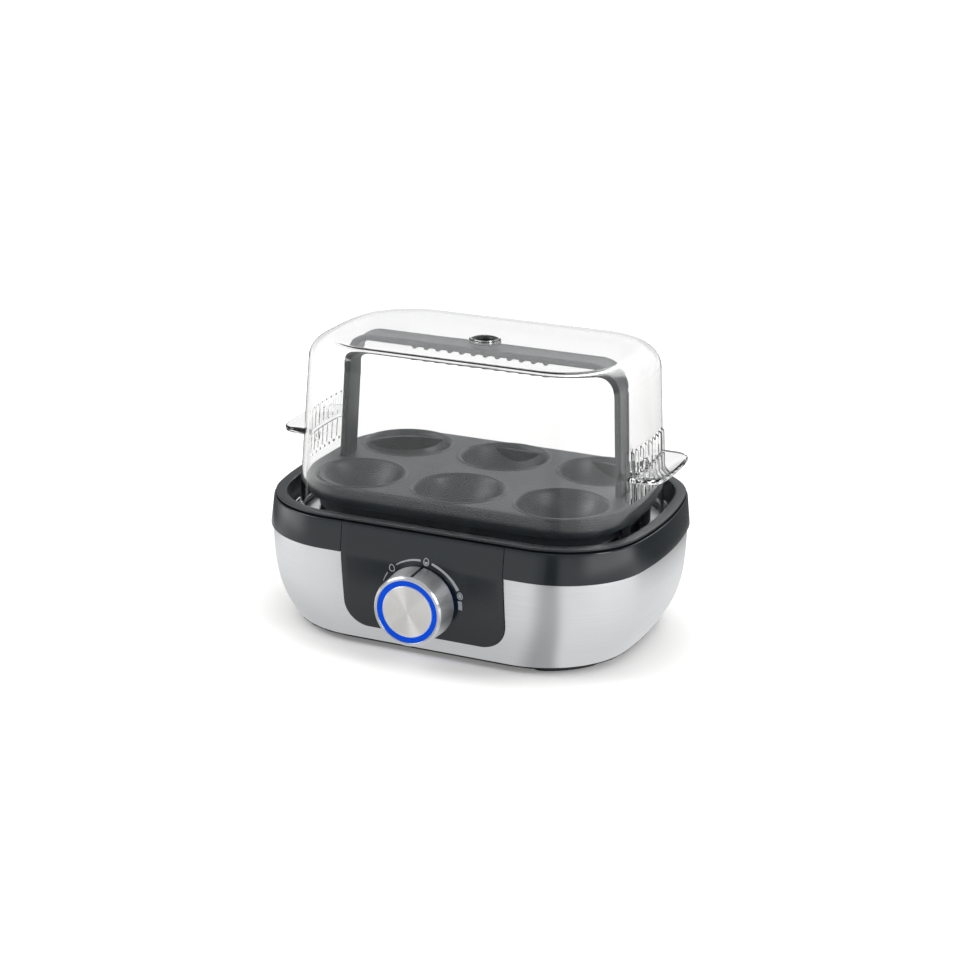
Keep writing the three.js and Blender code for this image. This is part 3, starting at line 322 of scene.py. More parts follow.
    def clear(self) -> None:
        """Clear plastic with the faintest ripple, which lets the lamps through."""
        self.fill(self.shader, Transmission_Weight=1.0, IOR=self.CLEAR_IOR)
        ripple = self.noise(self.place(), self.finish.grain, detail=1.0)
        self.bump(ripple, strength=0.5)
        through = self.node("ShaderNodeBsdfTransparent", Color=self.CLEAR_SHADOW)
        mixed = self.node(
            "ShaderNodeMixShader",
            self.node("ShaderNodeLightPath").outputs["Is Shadow Ray"],
            self.shader.outputs["BSDF"],
            through.outputs["BSDF"],
        )
        self.fill(self.output, Surface=mixed.outputs["Shader"])

    def lit(self) -> None:
        """A diffuser lit from behind, brightest where its noise is."""
        self.fill(self.shader, Base_Color=self.UNLIT_BLUE, Emission_Strength=1.0)
        glow = self.noise(self.place(), self.finish.grain, detail=1.0)
        self.shade(glow, "Emission_Color")

    def rubber(self) -> None:
        """Matt rubber with a coarse grain."""
        place = self.place()
        self.shade(self.noise(place, scale=60.0, detail=4.0))
        self.bump(self.noise(place, self.finish.grain))

    def paint(self) -> None:
        """Ink with a slightly uneven cover."""
        self.shade(self.noise(self.place(), self.finish.grain, detail=2.0))

    def build(self) -> bpy.types.Material:
        """Builds the tree for the finish's surface.

        Returns:
            The material.
        """
        self.plain()
        steps: dict[Surface, Callable[[], None]] = {
            Surface.MOULDED: self.moulded,
            Surface.BRUSHED: self.brushed,
            Surface.SPUN: self.spun,
            Surface.CLEAR: self.clear,
            Surface.LIT: self.lit,
            Surface.RUBBER: self.rubber,
            Surface.PAINT: self.paint,
        }
        steps[self.finish.surface]()
        return self.made


class Look(Enum):
    """The finishes of the boiler: name, surface, colour, roughness and the frame's slot."""

    SKIRT = Finish(
        "skirt_steel", Surface.BRUSHED, (0.69, 0.7, 0.71), 0.3, "skirt_steel",
        relief=0.000004, metallic=1.0, anisotropy=0.55,
    )
    PAN = Finish(
        "pan_steel", Surface.BRUSHED, (0.7, 0.71, 0.72), 0.16, "pan_steel",
        relief=0.000002, variation=0.03, metallic=1.0, anisotropy=0.3,
    )
    SCREW = Finish(
        "screw_steel", Surface.MOULDED, (0.5, 0.5, 0.5), 0.35, "screw_steel",
        grain=900.0, metallic=1.0,
    )
    BAND = Finish(
        "band_plastic", Surface.MOULDED, (0.011, 0.016, 0.019), 0.13, "band_plastic",
        relief=0.000004,
    )
    FRAME = Finish(
        "frame_plastic", Surface.MOULDED, (0.014, 0.017, 0.019), 0.3, "frame_plastic",
        relief=0.000004,
    )
    PANEL = Finish(
        "panel_plastic", Surface.MOULDED, (0.011, 0.016, 0.019), 0.24, "panel_plastic",
        relief=0.000004,
    )
    TRAY = Finish(
        "tray_plastic", Surface.MOULDED, (0.014, 0.018, 0.02), 0.42, "tray_plastic",
        grain=2400.0, relief=0.0000015, specular=0.36,
    )
    BLACK = Finish(
        "black_plastic", Surface.MOULDED, (0.012, 0.013, 0.014), 0.45, "black_plastic"
    )
    FOOT = Finish(
        "foot_rubber", Surface.RUBBER, (0.01, 0.01, 0.01), 0.8, "foot_rubber",
        grain=1500.0, relief=0.00003,
    )
    SILICONE = Finish(
        "silicone", Surface.RUBBER, (0.28, 0.06, 0.035), 0.6, "silicone", relief=0.00002
    )
    CLEAR = Finish(
        "clear_plastic", Surface.CLEAR, (0.975, 0.978, 0.979), 0.0, "clear_plastic",
        grain=30.0, relief=0.000004,
    )
    RING = Finish(
        "blue_light", Surface.LIT, (0.0, 0.062, 0.62), 0.3, "blue_light",
        grain=300.0, variation=0.08, specular=0.1,
    )
    KNOB = Finish(
        "knob_metal", Surface.SPUN, (0.72, 0.73, 0.74), 0.32, "knob_chrome",
        relief=0.000002, metallic=1.0, anisotropy=0.85,
    )
    FACE = Finish(
        "spun_metal", Surface.SPUN, (0.95, 0.94, 0.91), 0.42, "spun_metal",
        relief=0.000003, variation=0.06, metallic=1.0, anisotropy=0.9,
    )
    INK = Finish("dial_ink", Surface.PAINT, (0.43, 0.45, 0.47), 0.5, "panel_plastic")
    ALUMINIUM = Finish(
        "plain_aluminium", Surface.MOULDED, (0.55, 0.56, 0.57), 0.4, "heater_aluminium",
        grain=700.0, metallic=1.0,
    )
    CERAMIC = Finish("ceramic", Surface.MOULDED, (0.7, 0.68, 0.6), 0.5, "ceramic")
    COPPER = Finish(
        "copper", Surface.MOULDED, (0.5, 0.22, 0.1), 0.35, "copper",
        grain=900.0, metallic=1.0,
    )
    BOARD = Finish(
        "board_green", Surface.MOULDED, (0.015, 0.12, 0.04), 0.4, "board_green",
        grain=500.0, variation=0.3,
    )

    def material(self) -> bpy.types.Material:
        """Gives the finish's material."""
        return self.value.material()


# Outlines and profiles


def levels(low: float, high: float, steps: int) -> list[float]:
    """Steps evenly from one number to another."""
    return [low + (high - low) * k / steps for k in range(steps + 1)]


def rounded_outline(
    half_length: float,
    half_width: float,
    end_radius: float,
    corner_radius: float,
    bow_steps: int = 5,
    corner_steps: int = 18,
) -> Outline:
    """Draws an oblong with straight sides, bowed ends and round corners, anticlockwise.

    Args:
        half_length: reach of the ends.
        half_width: reach of the sides.
        end_radius: radius of the bowed ends.
        corner_radius: radius of the corners.
        bow_steps: steps of half an end.
        corner_steps: steps of a corner.

    Returns:
        The outline's points.
    """
    centre = half_length - end_radius
    corner_y = half_width - corner_radius
    corner_x = centre + math.sqrt((end_radius - corner_radius) ** 2 - corner_y**2)
    bow = math.atan2(corner_y, corner_x - centre)
    bows = [bow * k / bow_steps for k in range(bow_steps + 1)]
    turns = [
        bow + (math.pi / 2 - bow) * k / corner_steps for k in range(1, corner_steps + 1)
    ]
    quarter = [
        *((centre + end_radius * math.cos(a), end_radius * math.sin(a)) for a in bows),
        *(
            (corner_x + corner_radius * math.cos(a), corner_y + corner_radius * math.sin(a))
            for a in turns
        ),
    ]
    back = quarter[::-1]
    return [
        *quarter,
        *((-x, y) for x, y in back),
        *((-x, -y) for x, y in quarter[1:]),
        *((x, -y) for x, y in back[:-1]),
    ]


@dataclass(frozen=True)
class Oblong:
    """An oblong with bowed ends: its reach and the radii of its ends and corners."""

    half_length: float
    half_width: float
    end_radius: float
    corner_radius: float

    def rim(self, _z: float, inset: float) -> Outline:
        """The outline moved in by an inset, the same at every height."""
        sizes = (self.half_length, self.half_width, self.end_radius, self.corner_radius)
        return rounded_outline(*(size - inset for size in sizes))


def rounded(
    corners: Sequence[tuple[float, float, float]], steps: int = 4, closed: bool = True
) -> Outline:
    """Rounds the corners of a polygon.

    Args:
        corners: points with the radius of each corner.
        steps: steps of each round.
        closed: whether the last corner joins the first.

    Returns:
        The rounded polygon's points.
    """
    made: Outline = []
    count = len(corners)
    half_edge = 0.49
    for k, (x, y, radius) in enumerate(corners):
        here = Vector((x, y))
        ends = not closed and k in (0, count - 1)
        if radius <= 0 or ends:
            made.append((x, y))
            continue
        before = Vector(corners[k - 1][:2]) - here
        after = Vector(corners[(k + 1) % count][:2]) - here
        room = min(before.length * half_edge, after.length * half_edge)
        reach = min(radius / math.tan(before.angle(after) / 2), room)
        start = here + before.normalized() * reach
        end = here + after.normalized() * reach
        for t in (n / steps for n in range(steps + 1)):
            spot = start * (1 - t) ** 2 + here * (2 * t * (1 - t)) + end * t**2
            made.append(tuple(spot))
    return made


@dataclass
class Form:
    """A mesh in millimetres, before it becomes an object."""

    points: list[Point3] = field(default_factory=list)
    faces: list[tuple[int, ...]] = field(default_factory=list)
    uvs: list[list[Point2]] = field(default_factory=list)

    def add(self, other: "Form") -> "Form":
        """Adds another form's faces to this one.

        Args:
            other: the form to add.

        Returns:
            This form.
        """
        start = len(self.points)
        self.points += other.points
        self.faces += [tuple(n + start for n in face) for face in other.faces]
        self.uvs += other.uvs
        return self

    def moved(self, x: float = 0.0, y: float = 0.0, z: float = 0.0) -> "Form":
        """Returns a moved copy."""
        points = [(px + x, py + y, pz + z) for px, py, pz in self.points]
        return Form(points, list(self.faces), list(self.uvs))


def lengths(points: Sequence[Sequence[float]], closed: bool) -> list[float]:
    """Measures the way along a row of points.

    Args:
        points: the points, in millimetres.
        closed: whether the way goes on from the last point to the first.

    Returns:
        The way to each point, in millimetres.
    """
    made = [0.0]
    ends = [*points, points[0]] if closed else list(points)
    for a, b in zip(ends, ends[1:], strict=False):
        made.append(made[-1] + math.dist(a, b))
    return made


def wrap(
    form: Form, around: Sequence[float], up: Sequence[float], closed: bool = False
) -> Form:
    """Joins the rows of points of a form by faces.

    Args:
        form: the form, with its points row by row.
        around: the way round a row, with one number more than it has points.
        up: the way from row to row.
        closed: whether the last row joins the first.

    Returns:
        The form.
    """
    count = len(around) - 1
    rows = len(form.points) // count
    for r in range(rows if closed else rows - 1):
        below, above = r * count, (r + 1) % rows * count
        low, high = up[r], up[r + 1]
        for k in range(count):
            n = (k + 1) % count
            left, right = around[k], around[k + 1]
            form.faces.append((below + k, below + n, above + n, above + k))
            form.uvs.append([(left, low), (right, low), (right, high), (left, high)])
    return form


def capped(form: Form, count: int, flat: Callable[[int], Point2]) -> Form:
    """Closes the first and last row of a form.

    Args:
        form: the form, with its points row by row.
        count: points of a row.
        flat: gives a point's path coordinates by its number.

    Returns:
        The form.
    """
    last = len(form.points) - count
    for cap in (tuple(range(count))[::-1], tuple(range(last, last + count))):
        form.faces.append(cap)
        form.uvs.append([flat(n) for n in cap])
    return form


def skin(
    outline_at: Callable[[float, float], Outline],
    profile: Sequence[Point2],
    closed: bool = True,
) -> Form:
    """Carries a profile of (inset, height) round an outline.

    Args:
        outline_at: the outline at a height and inset.
        profile: the profile's points.
        closed: a closed profile makes a ring, an open one gets two caps.

    Returns:
        The form.
    """
    rows = [outline_at(z, inset) for inset, z in profile]
    form = Form(
        [(x, y, z) for row, (_, z) in zip(rows, profile, strict=True) for x, y in row]
    )
    wrap(form, lengths(rows[0], True), lengths(profile, closed), closed)
    return form if closed else capped(form, len(rows[0]), lambda n: form.points[n][:2])


def turned(
    profile: Sequence[Point2],
    steps: int = 96,
    level: bool = False,
    closed: bool = True,
) -> Form:
    """Turns a profile of (radius, place) about an axis.

    Args:
        profile: the profile's points.
        steps: steps round the axis.
        level: the axis is Y, towards the back, rather than Z.
        closed: whether the profile joins up; an open one starts and ends on the axis.

    Returns:
        The form.
    """
    form = Form()
    for radius, place in profile:
        for k in range(steps):
            angle = 2 * math.pi * k / steps
            a, b = radius * math.cos(angle), radius * math.sin(angle)
            form.points.append((a, place, b) if level else (a, b, place))
    girth = 2 * math.pi * max(radius for radius, _ in profile)
    around = [girth * k / steps for k in range(steps + 1)]
    return wrap(form, around, lengths(profile, closed), closed)


def rod(
    radius: float, start: float, end: float, steps: int, level: bool = False
) -> Form:
    """Makes a solid round rod, such as cuts a hole.

    Args:
        radius: its radius.
        start: where it starts along its axis.
        end: where it ends.
        steps: steps round the axis.
        level: the axis is Y, towards the back, rather than Z.

    Returns:
        The form.
    """
    profile = [(0.0, start), (radius, start), (radius, end), (0.0, end)]
    return turned(profile, steps, level, closed=False)


def slab(
    outline: Outline,
    low: float,
    high: float,
    lay: Callable[[float, float, float], Point3],
) -> Form:
    """Thickens an outline between two depths.

    Args:
        outline: the outline's points.
        low: first depth.
        high: second depth.
        lay: places an outline point and a depth in the frame.

    Returns:
        The form.
    """
    count = len(outline)
    form = Form([lay(a, b, depth) for depth in (low, high) for a, b in outline])
    wrap(form, lengths(outline, True), (low, high))
    return capped(form, count, lambda n: outline[n % count])


def upright(a: float, b: float, depth: float) -> Point3:
    """Lays an outline in plan, its depth up."""
    return (a, b, depth)


def facing(a: float, b: float, depth: float) -> Point3:
    """Lays an outline in the front view, its depth towards the back."""
    return (a, depth, b)


# Objects


def placed(name: str, data: bpy.types.ID) -> bpy.types.Object:
    """Makes an object of some data and adds it to the scene.

    Args:
        name: the object's name.
        data: its mesh, camera or lamp.

    Returns:
        The object.
    """
    made = bpy.data.objects.new(name, data)
    bpy.context.scene.collection.objects.link(made)
    return made


def make(name: str, form: Form, look: Look, crease: float = 35.0) -> bpy.types.Object:
    """Makes an object of a form.

    Args:
        name: the object's name.
        form: its shape in millimetres.
        look: its finish.
        crease: angle in degrees above which an edge stays sharp.

    Returns:
        The object.
    """
    mesh = bpy.data.meshes.new(name)
    mesh.from_pydata([Vector(p) * MM for p in form.points], [], form.faces)
    layer = mesh.uv_layers.new(name=PATH_UV)
    flat = [value for face in form.uvs for uv in face for value in uv]
    layer.data.foreach_set("uv", flat)
    same_place = 0.0005 * MM
    work = bmesh.new()
    work.from_mesh(mesh)
    bmesh.ops.remove_doubles(work, verts=work.verts, dist=same_place)
    bmesh.ops.recalc_face_normals(work, faces=work.faces)
    work.to_mesh(mesh)
    work.free()
    mesh.materials.append(look.material())
    made = placed(name, mesh)
    smooth(made, crease)
    return made


def smooth(piece: bpy.types.Object, crease: float = 35.0) -> None:
    """Shades a piece smoothly except across sharp edges."""
    piece.data.polygons.foreach_set("use_smooth", [True] * len(piece.data.polygons))
    piece.data.set_sharp_from_angle(angle=math.radians(crease))


def baked(piece: bpy.types.Object) -> bpy.types.Object:
    """Turns a piece's modifiers into its mesh.

    Args:
        piece: the object.

    Returns:
        The same object, with a plain mesh.
    """
    graph = bpy.context.evaluated_depsgraph_get()
    mesh = bpy.data.meshes.new_from_object(
        piece.evaluated_get(graph), preserve_all_data_layers=True, depsgraph=graph
    )
    old = piece.data
    piece.modifiers.clear()
    piece.data = mesh
    mesh.name = piece.name
    bpy.data.meshes.remove(old)
    return piece


def discard(piece: bpy.types.Object) -> None:
    """Removes a helper object and its mesh.

    Args:
        piece: the object.
    """
    mesh = piece.data
    bpy.data.objects.remove(piece)
    bpy.data.meshes.remove(mesh)


def combine(
    piece: bpy.types.Object, tool: bpy.types.Object, how: str = "DIFFERENCE"
) -> bpy.types.Object:
    """Cuts a piece with a tool, or joins them, and removes the tool.

    Args:
        piece: the object that stays.
        tool: the object that is used up.
        how: the boolean's operation.

    Returns:
        The piece.
    """
    step = piece.modifiers.new("combine", "BOOLEAN")
    step.operation = how
    step.solver = "EXACT"
    step.object = tool
    baked(piece)
    discard(tool)
    smooth(piece)
    return piece


def eased(
    piece: bpy.types.Object, width: float, segments: int = 2, angle: float = 40.0
) -> bpy.types.Object:
    """Rounds a piece's sharp edges.

    Args:
        piece: the object.
        width: width of the round in millimetres.
        segments: its steps.
        angle: only edges sharper than this, in degrees.

    Returns:
        The piece.
    """
    step = piece.modifiers.new("ease", "BEVEL")
    step.width = width * MM
    step.segments = segments
    step.limit_method = "ANGLE"
    step.angle_limit = math.radians(angle)
    step.use_clamp_overlap = True
    baked(piece)
    smooth(piece)
    return piece


def settle(piece: bpy.types.Object, body: str, look: Look, *nodes: str) -> None:
    """Moves a finished piece to its place in the frame and lets it stand for its nodes.

    Pieces are built about the body's middle; the frame's origin is the footprint's.

    Args:
        piece: the object.
        body: the body's name.
        look: its finish, which is not used.
        nodes: the nodes that it stands for.
    """
    piece.data.transform(Matrix.Translation((0.0, FOOTPRINT_SHIFT * MM, 0.0)))
    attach(piece, body)
    if nodes:
        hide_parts(*nodes)
    LOG.info("%s: %d faces", piece.name, len(piece.data.polygons))


class Repeater:
    """Repeats a piece at places with Geometry Nodes."""

    TURN = "turn"

    def __init__(self) -> None:
        """Makes the node group with its named inputs."""
        self.group = bpy.data.node_groups.new("repeat_piece", "GeometryNodeTree")
        asks = (
            ("Places", "NodeSocketGeometry"),
            ("Piece", "NodeSocketObject"),
            ("Finish", "NodeSocketMaterial"),
        )
        face = self.group.interface
        self.sockets = {
            name: face.new_socket(name, in_out="INPUT", socket_type=kind).identifier
            for name, kind in asks
        }
        face.new_socket("Geometry", in_out="OUTPUT", socket_type="NodeSocketGeometry")
        self.wire(NodeTree(self.group))

    def wire(self, tree: NodeTree) -> None:
        """Fills the node group.

        Args:
            tree: the group's tree.
        """
        given = tree.node("NodeGroupInput").outputs
        piece = tree.node("GeometryNodeObjectInfo", Object=given["Piece"])
        turn = tree.node("GeometryNodeInputNamedAttribute", Name=self.TURN)
        turn.data_type = "FLOAT"
        angles = tree.node("ShaderNodeCombineXYZ", Z=turn.outputs["Attribute"])
        euler = angles.outputs["Vector"]
        copies = tree.node(
            "GeometryNodeInstanceOnPoints",
            Points=given["Places"],
            Instance=piece.outputs["Geometry"],
            Rotation=tree.node("FunctionNodeEulerToRotation", euler).outputs["Rotation"],
        )
        real = tree.node("GeometryNodeRealizeInstances", copies.outputs["Instances"])
        finish = tree.node(
            "GeometryNodeSetMaterial",
            Geometry=real.outputs["Geometry"],
            Material=given["Finish"],
        )
        tree.node("NodeGroupOutput", finish.outputs["Geometry"])

    def repeat(
        self,
        name: str,
        template: bpy.types.Object,
        look: Look,
        places: Iterable[Place],
    ) -> bpy.types.Object:
        """Repeats a template, which is used up.

        Args:
            name: the new object's name.
            template: the piece at the origin.
            look: its finish.
            places: x, y and z in millimetres and a turn about Z in radians.

        Returns:
            One plain mesh object with every copy.
        """
        spots = list(places)
        mesh = bpy.data.meshes.new(name)
        mesh.from_pydata([Vector(p[:3]) * MM for p in spots], [], [])
        turn = mesh.attributes.new(self.TURN, "FLOAT", "POINT")
        turn.data.foreach_set("value", [p[3] for p in spots])
        made = placed(name, mesh)
        step = made.modifiers.new("repeat", "NODES")
        step.node_group = self.group
        step[self.sockets["Piece"]] = template
        step[self.sockets["Finish"]] = look.material()
        baked(made)
        discard(template)
        return made


# The base


@dataclass(frozen=True)
class BodySizes(Oblong):
    """Outside of the base: its rim, which flares at the band and tucks in below it."""

    half_length: float = 94.0
    half_width: float = 67.8
    end_radius: float = 190.0
    corner_radius: float = 42.2
    band_top: float = 61.5
    band_bottom: float = 47.3
    band_flare: float = 1.6
    skirt_bottom: float = 3.8
    end_tuck: float = 10.1
    side_tuck: float = 6.7
    end_power: float = 3.68
    side_power: float = 1.2

    def growth(self, z: float, inset: float) -> float:
        """How far the outline stands out from the rim's at a height."""
        share = (self.band_top - z) / (self.band_top - self.band_bottom)
        return self.band_flare * min(max(share, 0.0), 1.0) - inset

    def drop(self, z: float) -> float:
        """Share of the way down from the band to the skirt's bottom edge."""
        share = (self.band_bottom - z) / (self.band_bottom - self.skirt_bottom)
        return min(max(share, 0.0), 1.0)

    def side_reach(self, z: float, inset: float = 0.0) -> float:
        """Reach of the front or back at a height."""
        tuck = self.side_tuck * self.drop(z) ** self.side_power
        return self.half_width + self.growth(z, inset) - tuck

    def outline(self, z: float, inset: float) -> Outline:
        """Draws the outside.

        Args:
            z: the height.
            inset: how far it is moved in.

        Returns:
            The outline there.
        """
        grow = self.growth(z, inset)
        end = self.half_length + grow - self.end_tuck * self.drop(z) ** self.end_power
        return rounded_outline(
            end,
            self.side_reach(z, inset),
            self.end_radius + grow,
            self.corner_radius + grow,
        )


@dataclass(frozen=True)
class PanelSizes:
    """The control panel in the front view, and the dial's axis."""

    half_width: float = 39.8
    bottom: float = 11.0
    corner_radius: float = 12.0
    thickness: float = 2.4
    axis_height: float = 29.7
    shaft_hole: float = 3.6
    hole_span: Point2 = (-75.0, -50.0)
    edge: float = 0.35
    corner_steps: int = 14
    rise_steps: int = 20
    cross_steps: int = 24

    def front_view(self, margin: float, top: float) -> Outline:
        """Draws the panel's outline.

        Args:
            margin: how far it is grown.
            top: height of its straight top.

        Returns:
            The outline.
        """
        half, low = self.half_width + margin, self.bottom - margin
        radius = self.corner_radius + margin
        left = [
            (-half + radius - radius * math.cos(a), low + radius - radius * math.sin(a))
            for a in (
                math.pi / 2 * k / self.corner_steps for k in range(self.corner_steps + 1)
            )
        ]
        return [(-half, top), *left, *((-x, z) for x, z in left[::-1]), (half, top)]


@dataclass(frozen=True)
class FrameSizes:
    """The frame inside the band: its lip, inner wall, ledge and pillars."""

    lip_bottom: float = 62.3
    lip_top: float = 63.3
    lip_inset: float = 0.7
    rim_width: float = 6.0
    ledge_top: float = 51.2
    ledge_bottom: float = 49.0
    ledge_inset: float = 21.4
    wall_inset: float = 3.3
    pillar_radius: float = 3.6
    pillar_bore: float = 1.8
    pillar_bottom: float = 7.3
    pillar_sunk: float = 0.5
    pillars: tuple[Point2, ...] = ((-75, -26), (75, -26), (-75, 26), (75, 26))


@dataclass(frozen=True)
class PanSizes:
    """The steel water pan."""

    sheet: float = 0.8
    flange_bottom: float = 52.6
    flange_inset: float = 6.6
    bead_inset: float = 8.6
    bead_half: float = 0.9
    bead_height: float = 1.0
    bead_steps: int = 10
    bowl_inset: float = 22.3
    bowl_floor: float = 38.0
    bowl_round: float = 2.6
    draft: float = 0.2
    floor_inset: float = 30.9


@dataclass(frozen=True)
class FootSizes:
    """The four rubber feet."""

    centre: Point2 = (40.5, 18.9)
    radius: float = 31.5
    half_width: float = 6.0
    span: Point2 = (31.0, 68.0)
    height: float = 2.3
    edge: float = 0.6
    side_steps: int = 16
    end_steps: int = 14

    def about(self, angle: float, reach: float) -> Point2:
        """A point about the corner's centre."""
        x, y = self.centre
        return (x + reach * math.cos(angle), y + reach * math.sin(angle))

    def end(self, angle: float, start: float, half: float) -> Outline:
        """Draws the round of one end.

        Args:
            angle: where the end lies about the corner.
            start: the angle at which its round starts.
            half: its radius.

        Returns:
            The round, without its first and last point.
        """
        x, y = self.about(angle, self.radius)
        turns = [start + math.pi * k / self.end_steps for k in range(1, self.end_steps)]
        return [(x + half * math.cos(t), y + half * math.sin(t)) for t in turns]

    def outline(self, inset: float) -> Outline:
        """Draws a curved pad with round ends about the base's corner.

        Args:
            inset: how far it is moved in.

        Returns:
            The pad in the first quarter.
        """
        first, last = (math.radians(angle) for angle in self.span)
        half = self.half_width - inset
        steps = levels(first, last, self.side_steps)
        return [
            *(self.about(angle, self.radius + half) for angle in steps),
            *self.end(last, last, half),
            *(self.about(angle, self.radius - half) for angle in steps[::-1]),
            *self.end(first, first + math.pi, half),
        ]

    def corner(self, x_sign: int, y_sign: int) -> Form:
        """Makes the pad of one corner.

        Args:
            x_sign: 1 at the right and -1 at the left.
            y_sign: 1 at the rear and -1 at the front.

        Returns:
            The form.
        """
        inside = self.half_width - 1.0
        profile = rounded(
            [
                (inside, 0, 0), (0, 0, self.edge), (0, self.height, KEEN),
                (inside, self.height, 0),
            ],
            closed=False,
        )

        def outline(_z: float, inset: float) -> Outline:
            """The pad's outline, flipped into its corner."""
            return [(x_sign * x, y_sign * y) for x, y in self.outline(inset)]

        return skin(outline, profile, closed=False)


@dataclass(frozen=True)
class GlandSizes:
    """The cord gland in the back."""

    height: float = 18.0
    hole: float = 5.3
    hole_span: Point2 = (50.0, 75.0)
    bore: float = 3.3
    neck: float = 5.0
    flange: float = 7.0
    flange_thickness: float = 2.4
    nut_thickness: float = 3.0


@dataclass
class Base:
    """The base unit: skirt, band, frame, panel, pan, feet and gland."""

    repeater: Repeater
    body: BodySizes = BodySizes()
    panel: PanelSizes = PanelSizes()
    frame: FrameSizes = FrameSizes()
    pan: PanSizes = PanSizes()
    foot: FootSizes = FootSizes()
    gland: GlandSizes = GlandSizes()
    skirt_step: float = 1.0
    skirt_sheet: float = 0.8
    skirt_lap: float = 6.0
    skirt_rows: int = 22
    hem_rows: tuple[float, ...] = (0.6, 1.4)
    hem_height: float = 3.0
    hem_inner: float = 0.25
    hem_outer: tuple[Point2, ...] = ((0.3, 0.0), (0.08, 0.12), (0.0, 0.35))
    band_thickness: float = 3.0

    def window(self) -> bpy.types.Object:
        """A cutter of the panel's shape with its clearance.

        Returns:
            The cutter.
        """
        outline = self.panel.front_view(GAP, self.body.band_top + OVERRUN)
        front = -self.body.half_width - self.body.band_flare - OVERRUN
        back = -self.body.half_width + self.pan.bowl_inset
        return make("window", slab(outline, front, back, facing), Look.BLACK)

    def skirt(self) -> None:
        """The brushed steel skirt, with the panel's window and the gland's hole."""
        body, gland = self.body, self.gland
        outer, inner = self.skirt_step, self.skirt_step + self.skirt_sheet
        low = body.skirt_bottom
        rising = [
            *(low + up for up in self.hem_rows),
            *levels(low + self.hem_height, body.band_bottom, self.skirt_rows),
            body.band_bottom + self.skirt_lap,
        ]
        profile = [
            (inner, low + self.hem_inner), (inner - self.hem_inner, low),
            *((outer + inward, low + up) for inward, up in self.hem_outer),
            *((outer, z) for z in rising),
            *((inner, z) for z in rising[::-1]),
        ]
        piece = make("steel_skirt_sheet", skin(body.outline, profile), Look.SKIRT)
        combine(piece, self.window())
        hole = rod(gland.hole, *gland.hole_span, steps=HOLE_STEPS, level=True)
        combine(piece, make("hole", hole.moved(z=gland.height), Look.BLACK))
        settle(piece, "base", Look.SKIRT, "steel_skirt")

    def band(self) -> None:
        """The dark band above the skirt, open at the front for the panel."""
        body, low = self.body, self.skirt_step - GAP
        catch = body.band_bottom + self.skirt_lap + GAP
        profile = rounded(
            [
                (0, body.band_bottom, 0.35), (0, body.band_top, 0.55),
                (self.band_thickness, body.band_top, CRISP),
                (self.band_thickness, catch, 0),
                (low, catch, 0), (low, body.band_bottom, KEEN),
            ]
        )
        piece = make("outer_band_shell", skin(body.outline, profile), Look.BAND)
        combine(piece, self.window())
        settle(piece, "base", Look.BAND, "outer_band")

    def rim(self) -> None:
        """The frame: lip, inner wall and ledge, with its four screw pillars."""
        sizes = self.frame
        profile = rounded(
            [
                (sizes.lip_inset, sizes.lip_bottom, EASED),
                (sizes.lip_inset, sizes.lip_top, 0.5),
                (sizes.rim_width, sizes.lip_top, FULL),
                (sizes.rim_width, sizes.ledge_top, SOFT),
                (sizes.ledge_inset, sizes.ledge_top, EASED),
                (sizes.ledge_inset, sizes.ledge_bottom, EASED),
                (sizes.wall_inset, sizes.ledge_bottom, 0),
                (sizes.wall_inset, sizes.lip_bottom, EASED),
            ]
        )
        piece = make("top_frame_rim", skin(self.body.rim, profile), Look.FRAME)
        top = sizes.ledge_bottom + sizes.pillar_sunk
        column = [
            (sizes.pillar_bore, sizes.pillar_bottom),
            (sizes.pillar_radius, sizes.pillar_bottom), (sizes.pillar_radius, top),
            (sizes.pillar_bore, top),
        ]
        template = make("pillar", turned(column, PIN_STEPS), Look.FRAME)
        places = [(x, y, 0, 0) for x, y in sizes.pillars]
        pillars = self.repeater.repeat(
            "top_frame_pillars", template, Look.FRAME, places
        )
        settle(pillars, "base", Look.FRAME, "top_frame")
        settle(piece, "base", Look.FRAME, "top_frame")

    def front(self) -> None:
        """The control panel: a sheet that follows the body's front, with a round edge."""
        panel, body = self.panel, self.body
        low, top, radius = panel.bottom, body.band_top, panel.corner_radius
        rounds = (
            math.pi / 2 * k / panel.corner_steps for k in range(panel.corner_steps + 1)
        )
        corner = [low + radius * (1 - math.cos(angle)) for angle in rounds]
        rows = [*corner, *levels(corner[-1], top, panel.rise_steps)[1:]]
        columns = [k / panel.cross_steps - 0.5 for k in range(panel.cross_steps + 1)]
        form = Form()
        for inset in (0.0, panel.thickness):
            for z in rows:
                fall = max(low + radius - z, 0.0)
                half = panel.half_width - radius + math.sqrt(radius**2 - fall**2)
                y = -body.side_reach(z, inset)
                form.points += [(2 * half * s, y, z) for s in columns]
        width, height = len(columns), len(rows)
        layer = width * height

        for r in range(height - 1):
            for first in range(r * width, (r + 1) * width - 1):
                near = (first, first + 1, first + width + 1, first + width)
                form.faces.append(near)
                form.faces.append(tuple(n + layer for n in near[::-1]))
        border = [
            *range(width),
            *(r * width + width - 1 for r in range(1, height)),
            *((height - 1) * width + c for c in range(width - 2, -1, -1)),
            *(r * width for r in range(height - 2, 0, -1)),
        ]
        for a, b in zip(border, [*border[1:], border[0]], strict=True):
            form.faces.append((b, a, a + layer, b + layer))
        form.uvs = [
            [(form.points[n][0], form.points[n][2]) for n in face]
            for face in form.faces
        ]
        piece = make("control_panel_cover", form, Look.PANEL)
        eased(piece, panel.edge, segments=3)
        bore = rod(panel.shaft_hole, *panel.hole_span, steps=HOLE_STEPS, level=True)
        combine(piece, make("bore", bore.moved(z=panel.axis_height), Look.BLACK))
        settle(piece, "base", Look.PANEL, "control_panel")

